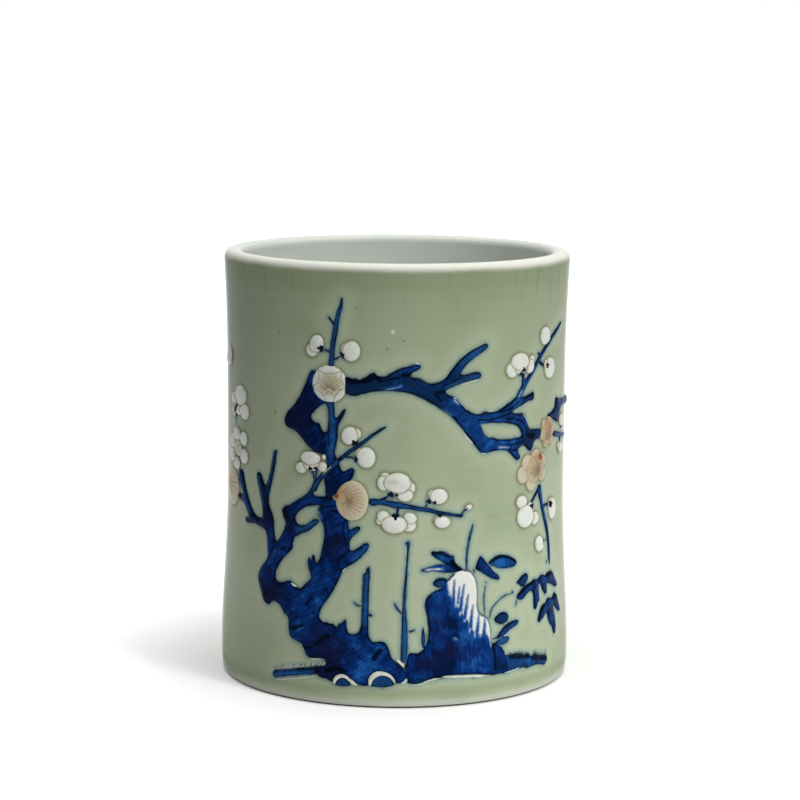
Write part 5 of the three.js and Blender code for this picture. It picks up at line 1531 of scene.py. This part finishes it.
# Stalks, twigs and grass brushed in thin cobalt: width at each end and the way they go
STALKS = (
    (0.7, 0.5, ((-22.6, 109.8), (-20, 108.9))),
    (0.5, 0.7, ((-17, 108), (-18.6, 107.1), (-20, 106.9))),
    (0.7, 0.6, ((-12.3, 81.5), (-11.4, 80.6))),
    (0.5, 0.7, ((-12.4, 76.7), (-13.6, 77.3), (-15.6, 77.2))),
    (0.6, 0.6, ((-26.4, 72.8), (-26, 71), (-25.6, 69.4))),
    (0.5, 0.5, ((-25, 73), (-25.1, 70.6), (-25.2, 69.4))),
    (0.7, 0.7, ((-1.8, 65.8), (-3.4, 65), (-5.4, 64.2))),
    (0.7, 0.7, ((0.4, 60), (0.8, 61.2), (0.9, 62.6))),
    (0.5, 0.5, ((10, 63.6), (9.4, 62.4), (9.3, 61.6))),
    (0.45, 0.6, ((22.8, 61.7), (21.4, 60.2), (20.2, 59.1))),
    (0.6, 0.5, ((0.0, 33.0), (0.9, 31.2), (2.4, 29.7))),
    (0.9, 0.3, ((4.4, 24.0), (6.4, 24.7))),
    (0.4, 0.6, ((-12.4, 32.8), (-11.3, 31.9), (-10.0, 31.8))),
    (0.5, 1.0, ((-8.0, 29.4), (-6.4, 28.8))),
    (0.7, 0.8, ((22.4, 42.4), (22.6, 46.5), (23.4, 51.2), (24.8, 56.4))),
    (0.35, 0.35, ((28.5, 28.4), (28.4, 33), (29, 37))),
    (0.9, 0.7, ((29.1, 37.7), (29.3, 38))),
    (0.35, 0.4, ((30.2, 26.3), (31, 29.2), (33.4, 31.5), (36.2, 32.9), (38.4, 33.2))),
    (1.1, 1.0, ((39, 33.7), (39.5, 33.2))),
    (0.45, 0.35, ((40.9, 30.8), (40.6, 29.2))),
    (1.6, 1.9, ((13.1, 38.8), (14.8, 38.6))),
    (0.6, 0.4, ((25.4, 41.2), (24.6, 42.4))),
    (0.6, 0.4, ((56.6, 47.1), (57.6, 47.4))),
    (1.0, 0.8, ((57.2, 40.1), (57.5, 40.3))),
    (0.7, 0.4, ((-63.2, 86.4), (-64.4, 83.6), (-65, 82))),
    (0.6, 0.4, ((-66, 86), (-66.8, 84.4))),
    (0.9, 0.6, ((3.2, 51), (4.6, 51.8))),
    (0.5, 0.3, ((31.2, 19.9), (33.2, 20.4), (36.4, 20.5))),
)
# Thin white lines along edges: mostly painted highlights of the glaze, some slip left bare
GLINTS = (
    (0.35, 0.45, ((20.4, 99.3), (23.2, 100.1), (26.2, 100.8))),
    (0.3, 0.5, ((21.2, 84.6), (22.8, 82.6), (24.3, 81.2))),
    (0.5, 0.4, ((5.6, 106.5), (7.0, 106))),
    (0.35, 0.3, ((17.8, 95.5), (18.6, 95.2))),
    (0.3, 0.3, ((29.4, 90.9), (31.6, 90.8))),
    (0.3, 0.3, ((43.2, 88.7), (44.8, 87.0), (45.9, 85.0))),
    (0.5, 0.3, ((27.2, 77.8), (29, 77.9))),
    (0.45, 0.4, ((-33.2, 36.7), (-31.2, 35.8))),
    (0.4, 0.4, ((-26.4, 14.1), (-22.8, 14.3))),
    (0.3, 0.3, ((-15.9, 42), (-14.9, 43.2))),
    (0.28, 0.28, ((-22.8, 71.5), (-21, 73), (-19.6, 74.4))),
    (0.4, 0.3, ((-38.8, 5.6), (-34, 6.5), (-30, 7.4), (-26, 8.3), (-23.8, 8.6))),
    (0.8, 0.9, ((14.6, 9.8), (19, 9.5), (24, 9.2), (29, 8.8))),
    (0.3, 0.6, ((5, 7.6), (8, 7.8), (11, 8.9), (14, 9.4))),
    (0.4, 0.3, ((35.4, 8.8), (39, 9.1), (41.4, 9.6))),
    (0.6, 0.9, ((0.8, 15.4), (1.9, 14.6), (3, 13.4))),
    (0.6, 0.9, ((2.2, 8.2), (3.2, 8.6), (3.9, 9.6))),
    (1.0, 0.5, ((-13, 9), (-11.8, 7.8), (-10.9, 7.2))),
    (0.5, 0.3, ((12.4, 43.2), (14, 43.3))),
    (0.35, 0.25, ((34.6, 20.4), (37.4, 20.7))),
)
# Rows of grass brushed in cobalt, and one of bare slip: start, end, count, rise, lean and width
GRASS = (
    ((-39, 7.6), (-23, 10.8), 30, 2.3, 0.35, 0.3),
    ((37, 12.8), (46, 11.6), 24, 2, 0.15, 0.42),
    ((46.4, 10.6), (55.6, 9), 22, 2.6, 0.15, 0.42),
    ((36, 9.6), (54, 9), 20, 1.6, 0.2, 0.34),
    ((4.4, 9.8), (14.6, 10.2), 22, -1.3, 0.5, 0.3),
    ((15.6, 10.4), (29, 9.8), 18, -1.1, 0.3, 0.26),
)
BARE_GRASS = ((-38.8, 8.6), (-21, 12.6), 34, 1.5, 0.35, 0.28)


def ticks(start, end, count, rise, lean, width):
    """A row of short strokes between two places, each rising and leaning a little"""
    rng = np.random.default_rng(count)
    row = []
    for share in np.linspace(0, 1, count):
        u = start[0] + (end[0] - start[0]) * share
        v = start[1] + (end[1] - start[1]) * share
        tall = rise * rng.uniform(0.6, 1.2)
        row.append((width, width * 0.6, ((u, v), (u + lean * tall, v + tall))))
    return row


def brushed(name, strokes, grid, high, wall, material, slot, fullness):
    """Brush strokes laid over the wall and whatever stands on it, as one piece"""
    stations = []
    for start, end, points in strokes:
        points = swept(points, 0.5)
        share = np.linspace(-1, 1, len(points))
        widths = np.linspace(start, end, len(points)) * (1 - 0.6 * share**4)
        stations.append([(*point, width) for point, width in zip(points, widths)])
    mesh = ropes(stations)
    sheet = places_of(mesh)
    sheet[:, 2] = grid.read(high, sheet[:, 0], sheet[:, 1]) + sheet[:, 2] * fullness + 0.02
    move_to(mesh, wall.bent(sheet))
    bm = bmesh.new()
    bm.from_mesh(mesh)
    bmesh.ops.recalc_face_normals(bm, faces=bm.faces)
    bm.to_mesh(mesh)
    bm.free()
    return finished(name, mesh, material, slot)


class POT_OT_throw_body(bpy.types.Operator):
    """Throws the pot: waisted wall, rounded lip, bore, floor and foot ring"""

    bl_idname = "brush_pot.throw_body"
    bl_label = "Thrown body"

    def execute(self, context):
        wall = Wall()
        bore = float(wall.radius(wall.floor + wall.fillet)) - wall.wall
        profile = [(0, wall.floor), (12, wall.floor), (28, wall.floor)]
        corner = (bore - wall.fillet, wall.floor + wall.fillet)
        for turn in np.radians(np.linspace(-90, 0, 8)):
            across, up = math.cos(turn), math.sin(turn)
            profile.append((corner[0] + wall.fillet * across, corner[1] + wall.fillet * up))
        for v in np.linspace(wall.floor + wall.fillet, wall.shoulder, 18)[1:-1]:
            profile.append((float(wall.radius(v)) - wall.wall, v))
        middle = wall.rim - wall.wall / 2
        fullness = 2 / 2.6
        for turn in np.radians(np.linspace(180, 0, 21)):
            across, up = math.cos(turn), max(0, math.sin(turn))
            r = middle + wall.wall / 2 * math.copysign(abs(across) ** fullness, across)
            profile.append((r, wall.shoulder + wall.lip * up**fullness))
        count = int((wall.shoulder - 1) / wall.rise)
        for v in np.linspace(wall.shoulder, 1, count)[1:]:
            profile.append((float(wall.radius(v)), v))
        for v in (0.6, 0.3, 0.1):
            profile.append((float(wall.radius(v)) - 0.02, v))
        inner = wall.foot - wall.ring
        profile += [(wall.foot - 0.35, 0), (wall.foot - 3.5, 0), (inner + 0.3, 0), (inner, 0.3)]
        profile += [(inner - 0.1, wall.recess - 0.4), (inner - 0.5, wall.recess)]
        profile += [(30, wall.recess), (0, wall.recess)]

        front = math.radians(200)
        bm = bmesh.new()
        turned = Matrix.Rotation(-math.pi / 2 - front / 2, 3, "Z")
        verts = [bm.verts.new(turned @ Vector((r * MM, 0, v * MM))) for r, v in profile]
        line = verts + [bm.edges.new(pair) for pair in zip(verts, verts[1:])]
        for angle, steps in ((front, wall.front_steps), (2 * math.pi - front, wall.back_steps)):
            line = bmesh.ops.spin(
                bm, geom=line, cent=(0, 0, 0), axis=(0, 0, 1), angle=angle, steps=steps, use_merge=False
            )["geom_last"]
        bmesh.ops.remove_doubles(bm, verts=bm.verts, dist=0.02 * MM)
        bmesh.ops.recalc_face_normals(bm, faces=bm.faces)
        mesh = mesh_of(bm, "pot_body_glazed")
        finished("pot_body_glazed", mesh, celadon_glaze(), "celadon_body", "pot_body")
        return {"FINISHED"}


class POT_OT_grow_tree(bpy.types.Operator):
    """Models the prunus: trunk, branches, bough and twigs"""

    bl_idname = "brush_pot.grow_tree"
    bl_label = "Prunus tree"

    def execute(self, context):
        lay_pieces(TREE, Wall())
        return {"FINISHED"}


class POT_OT_lay_ground(bpy.types.Operator):
    """Models the rock, the mound, the verges, the reeds and the roots' hollow ends"""

    bl_idname = "brush_pot.lay_ground"
    bl_label = "Rock and ground"

    def execute(self, context):
        wall = Wall()
        lay_pieces(GROUND, wall)
        white = white_slip()
        grain = context.scene.slip_sizes.petal_grain / MM
        for name, stations in ROOT_RINGS.items():
            mesh = modelled((), (stations,), wall, 1.05, grain=grain, ridge=0)
            for noted, value in (("seam", FAR), ("ink", FAR), ("heart", FAR), ("spot", FAR), ("amber", 0)):
                note(mesh, noted, np.full(len(mesh.vertices), value))
            finished(f"{name}_glazed", mesh, white, "white_slip", name)["raised"] = 1
        return {"FINISHED"}


class POT_OT_lay_leaves(bpy.types.Operator):
    """Models the leaves round the rock and the bamboo"""

    bl_idname = "brush_pot.lay_leaves"
    bl_label = "Leaves and bamboo"

    def execute(self, context):
        lay_pieces(LEAVES, Wall())
        return {"FINISHED"}


class POT_OT_open_flowers(bpy.types.Operator):
    """Models the open flowers, white and buff"""

    bl_idname = "brush_pot.open_flowers"
    bl_label = "Open flowers"

    def execute(self, context):
        hues = context.scene.glazes
        wall = Wall()
        white = white_slip()
        buff = flower_slip("buff_slip", hues.buff, hues.cream, hues.umber)
        for name, (petals, veins, heart) in FLOWERS.items():
            mesh = flower_mesh(petals, veins, heart, wall)
            tinted = name in BUFF
            slot = "buff_slip" if tinted else "white_slip"
            finished(f"{name}_glazed", mesh, buff if tinted else white, slot, name)["raised"] = 1
        return {"FINISHED"}


class POT_OT_set_buds(bpy.types.Operator):
    """Models the round buds"""

    bl_idname = "brush_pot.set_buds"
    bl_label = "Buds"

    def execute(self, context):
        wall = Wall()
        white = white_slip()
        for name, petals in BUDS.items():
            mesh = flower_mesh(petals, (), None, wall)
            finished(f"{name}_glazed", mesh, white, "white_slip", name)["raised"] = 1
        return {"FINISHED"}


class POT_OT_brush_strokes(bpy.types.Operator):
    """Lays the thin stalks, the sepals, the grass and the white lines of bare slip and painted highlights"""

    bl_idname = "brush_pot.brush_strokes"
    bl_label = "Brush strokes"

    def execute(self, context):
        hues = context.scene.glazes
        wall = Wall()
        grid, high = height_map(wall)
        full = context.scene.slip_sizes.stroke
        ink = stroke_glaze("ink_strokes", hues.ink, hues.cobalt_deep)
        stalk = stroke_glaze("stalk_strokes", hues.cobalt_deep, hues.wash)
        # White lines for bare slip, and for painted highlights along the slip's edges
        bare = stroke_glaze("bare_slip", hues.white, hues.celadon_pale)
        sepals = []
        splay = 58
        for u, v, toward, size in SEPALS:
            for swing, reach in ((-splay, 0.75), (0, 1), (splay, 0.75)):
                angle = math.radians(toward + swing)
                tip = (u + size * reach * math.cos(angle), v + size * reach * math.sin(angle))
                sepals.append((0.95 * size ** 0.5, 0.6 * size ** 0.5, ((u, v), tip)))
        brushed("sepals", sepals, grid, high, wall, ink, "cobalt_slip", full)
        brushed("stalks", STALKS, grid, high, wall, stalk, "cobalt_slip", full)
        grass = [blade for row in GRASS for blade in ticks(*row)]
        brushed("grass", grass, grid, high, wall, ink, "cobalt_slip", full)
        bare_lines = [*GLINTS, *ticks(*BARE_GRASS)]
        brushed("bare_lines", bare_lines, grid, high, wall, bare, "white_slip", full)
        return {"FINISHED"}


class POT_OT_paint(bpy.types.Operator):
    """Notes on every piece how near each point is to an edge, a knot or the colour beside it"""

    bl_idname = "brush_pot.paint"
    bl_label = "Paint and glaze"

    def execute(self, context):
        wall = Wall()
        grid = SheetMap(wall.height)
        inside = {}
        outside = {}
        strokes = [o for o in context.scene.objects if o.name in ("sepals", "stalks", "grass")]
        for kind, slots, extra in (("blue", BLUE, strokes), ("white", WHITE, [])):
            solid = np.vstack([wall.flat(places_of(o.data)) for o in raised_pieces(*slots)])
            proud = solid[solid[:, 2] > PROUD]
            covered = grid.covered(proud[:, 0], proud[:, 1])
            inside[kind] = grid.away(~covered, 3)
            for piece in extra:
                sheet = wall.flat(places_of(piece.data))
                covered = covered | grid.covered(sheet[:, 0], sheet[:, 1])
            outside[kind] = grid.away(covered, HALO)
        for piece in raised_pieces(*BLUE, *WHITE):
            u, v, off = wall.flat(places_of(piece.data)).T
            kind = "blue" if piece["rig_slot"] in BLUE else "white"
            edge = grid.read(inside[kind], u, v)
            note(piece.data, "edge", np.where(off < PROUD, 0, edge))
            if kind == "blue":
                above = grid.read(inside[kind], u, v + 0.5)
                self.paint_blue(piece, u, v, smooth(edge - above, -0.1, 0.4))
        self.glaze_body(context, wall, grid, outside)
        return {"FINISHED"}

    def paint_blue(self, piece, u, v, upper):
        """Notes a cobalt piece's tones, knots, snow and outline, which is heavier on upper edges"""
        mesh = piece.data
        note(mesh, "tone", 0.42 + blobs(u, v, TONES))
        note(mesh, "plum", np.clip(blobs(u, v, PLUMS), 0, 1))
        thin = 0.42 * smooth(-away_from(u, v, WASHES), -0.5, 0.8)
        note(mesh, "wash", np.maximum(piece["wash"], thin))
        note(mesh, "ink", away_from(u, v, KNOTS + folds()))
        # Painted highlights: the pale strokes are noted with the snow, which turns them towards white
        snow = -away_from(u, v, PALE_AND_HIGHLIGHTS) - 0.1
        if piece.name == "rock_glazed":
            snow = np.maximum(snow, self.snow(u, v))
        note(mesh, "snow", snow)
        leaf = piece.name.startswith(("leaf", "bamb"))
        note(mesh, "line", 0.35 + 0.55 * upper if leaf else 0.8 + 0.14 * upper)

    def glaze_body(self, context, wall, grid, outside):
        """Notes how near the wall is to each colour, and lets the glaze creep up beside the slip"""
        body = context.scene.objects["pot_body_glazed"].data
        sheet = wall.flat(places_of(body))
        u, v, off = sheet.T
        outer = (off > -1) & (np.abs(u) < HALF_FRONT) & (v > 0.5)
        gaps = {kind: np.where(outer, grid.read(outside[kind], u, v), HALO) for kind in outside}
        note(body, "to_blue", gaps["blue"])
        note(body, "to_white", gaps["white"])
        nearest = np.minimum(gaps["blue"], gaps["white"])
        creep = context.scene.slip_sizes.meniscus / MM
        sheet[:, 2] += np.where(outer, creep * np.exp(-((nearest / 0.8) ** 2)), 0)
        front = np.abs(u) < HALF_FRONT + 2
        places = places_of(body)
        places[front] = wall.bent(sheet)[front]
        move_to(body, places)

    @staticmethod
    def snow(u, v):
        """How far inside the snow each place on the rock is, below nought on bare rock"""
        edge = np.array(SNOW_EDGE)
        gap = away_from(u, v, ((0.0, 0.0, SNOW_EDGE),))
        bound = np.interp(-v, -edge[:, 1], edge[:, 0])
        depth = np.maximum(np.where(u > bound, gap, -gap), -away_from(u, v, SNOW_FINGERS))
        return np.minimum(depth, away_from(u, v, SNOW_SPIKES))


class POT_OT_set_studio(bpy.types.Operator):
    """Sets the table, the backdrop, the lamps and the camera"""

    bl_idname = "brush_pot.set_studio"
    bl_label = "Studio"

    def lamp(self, name, place, aim, size, power):
        """A soft box of this size, or a flagged lamp where no size is given, that looks at a place"""
        data = bpy.data.lights.new(name, "AREA" if size else "SPOT")
        if size:
            data.shape = "RECTANGLE"
            data.size, data.size_y = size
        else:
            data.spot_size = math.radians(24)
            data.spot_blend = 1
            data.shadow_soft_size = 0.15
        data.energy = power
        lamp = bpy.data.objects.new(name, data)
        lamp.location = place
        lamp.rotation_euler = (Vector(aim) - Vector(place)).to_track_quat("-Z", "Y").to_euler()
        bpy.context.scene.collection.objects.link(lamp)

    def white_seen(self, nodes):
        """1 for rays that the camera, gloss or glass sends, which see white"""
        path = nodes.node("ShaderNodeLightPath").outputs
        seen = nodes.greater(path["Is Camera Ray"], path["Is Glossy Ray"])
        return nodes.greater(seen, path["Is Transmission Ray"])

    def lay_table(self, context):
        """A table that the camera sees white, with less of its own light beside the pot"""
        studio = context.scene.studio
        material = bpy.data.materials.new("table_white")
        nodes = Nodes(material)
        plain = nodes.node("ShaderNodeBsdfDiffuse", {"Color": studio.table})
        place = nodes.node("ShaderNodeTexCoord").outputs["Object"]
        away = nodes.node("ShaderNodeVectorMath", {0: place}, operation="LENGTH").outputs["Value"]
        strength = nodes.times(self.white_seen(nodes), nodes.span(away, 0.05, 0.2, studio.glow, 1))
        glow = nodes.node("ShaderNodeEmission", {"Color": (1, 1, 1), "Strength": strength})
        both = nodes.node("ShaderNodeAddShader", {0: plain.outputs[0], 1: glow.outputs[0]})
        nodes.node("ShaderNodeOutputMaterial", {"Surface": both.outputs[0]})

        bm = bmesh.new()
        bmesh.ops.create_grid(bm, x_segments=1, y_segments=1, size=4)
        table = bpy.data.objects.new("table", mesh_of(bm, "table"))
        table.data.materials.append(material)
        context.scene.collection.objects.link(table)

    def light_world(self, context):
        """A faint light from all round, which the camera sees white"""
        world = bpy.data.worlds.new("studio")
        context.scene.world = world
        nodes = Nodes(world)
        inputs = {"Value": self.white_seen(nodes), "To Min": context.scene.studio.sky}
        level = nodes.node("ShaderNodeMapRange", inputs).outputs[0]
        sky = nodes.node("ShaderNodeBackground", {"Color": (1, 1, 1), "Strength": level})
        nodes.node("ShaderNodeOutputWorld", {"Surface": sky.outputs[0]})

    def execute(self, context):
        scene = context.scene
        studio = scene.studio
        self.lay_table(context)
        self.light_world(context)
        self.lamp("key", (0.7, -0.75, 0.55), (0, 0, -0.06), None, studio.key)
        self.lamp("fill", (0.7, -0.75, 0.8), (0, 0, 0.05), (0.6, 0.6), studio.fill)
        self.lamp("top", (0, 0, 1.2), (0, 0, 0), (1, 1), studio.top)

        data = bpy.data.cameras.new("camera")
        data.sensor_width = 36
        data.lens = studio.lens / MM
        data.clip_start = 0.01
        data.clip_end = 50
        camera = bpy.data.objects.new("camera", data)
        camera.location = studio.camera
        aim = Euler((math.pi / 2 - studio.pitch, 0, 0)).to_matrix() @ Matrix.Rotation(studio.roll, 3, "Z")
        camera.rotation_euler = aim.to_euler()
        scene.collection.objects.link(camera)
        scene.camera = camera
        scene.view_settings.view_transform = "Standard"
        return {"FINISHED"}


STEPS = (
    POT_OT_throw_body, POT_OT_grow_tree, POT_OT_lay_ground, POT_OT_lay_leaves, POT_OT_open_flowers,
    POT_OT_set_buds, POT_OT_brush_strokes, POT_OT_paint, POT_OT_set_studio,
)
GROUPS = {"pot_sizes": PotSizes, "slip_sizes": SlipSizes, "glazes": Glazes, "studio": Studio}


class POT_PT_panel(bpy.types.Panel):
    """Lists the sizes, the colours and the steps in the order they are made"""

    bl_idname = "POT_PT_panel"
    bl_label = "Brush pot"
    bl_space_type = "VIEW_3D"
    bl_region_type = "UI"
    bl_category = "Brush pot"

    def draw(self, context):
        for step in STEPS:
            self.layout.operator(step.bl_idname)
        for name, group in GROUPS.items():
            box = self.layout.box()
            box.label(text=group.__doc__)
            for field in group.__annotations__:
                box.prop(getattr(context.scene, name), field)


def register():
    """Adds the groups of settings, the steps and the panel"""
    for group in GROUPS.values():
        bpy.utils.register_class(group)
    for step in (*STEPS, POT_PT_panel):
        bpy.utils.register_class(step)
    for name, group in GROUPS.items():
        setattr(bpy.types.Scene, name, PointerProperty(type=group))


def unregister():
    """Takes away what register adds"""
    for name in GROUPS:
        delattr(bpy.types.Scene, name)
    for kind in (POT_PT_panel, *reversed(STEPS), *GROUPS.values()):
        bpy.utils.unregister_class(kind)


def main():
    """Takes the steps in order"""
    register()
    for step in STEPS:
        group, name = step.bl_idname.split(".")
        getattr(getattr(bpy.ops, group), name)()


if __name__ == "__main__":
    main()
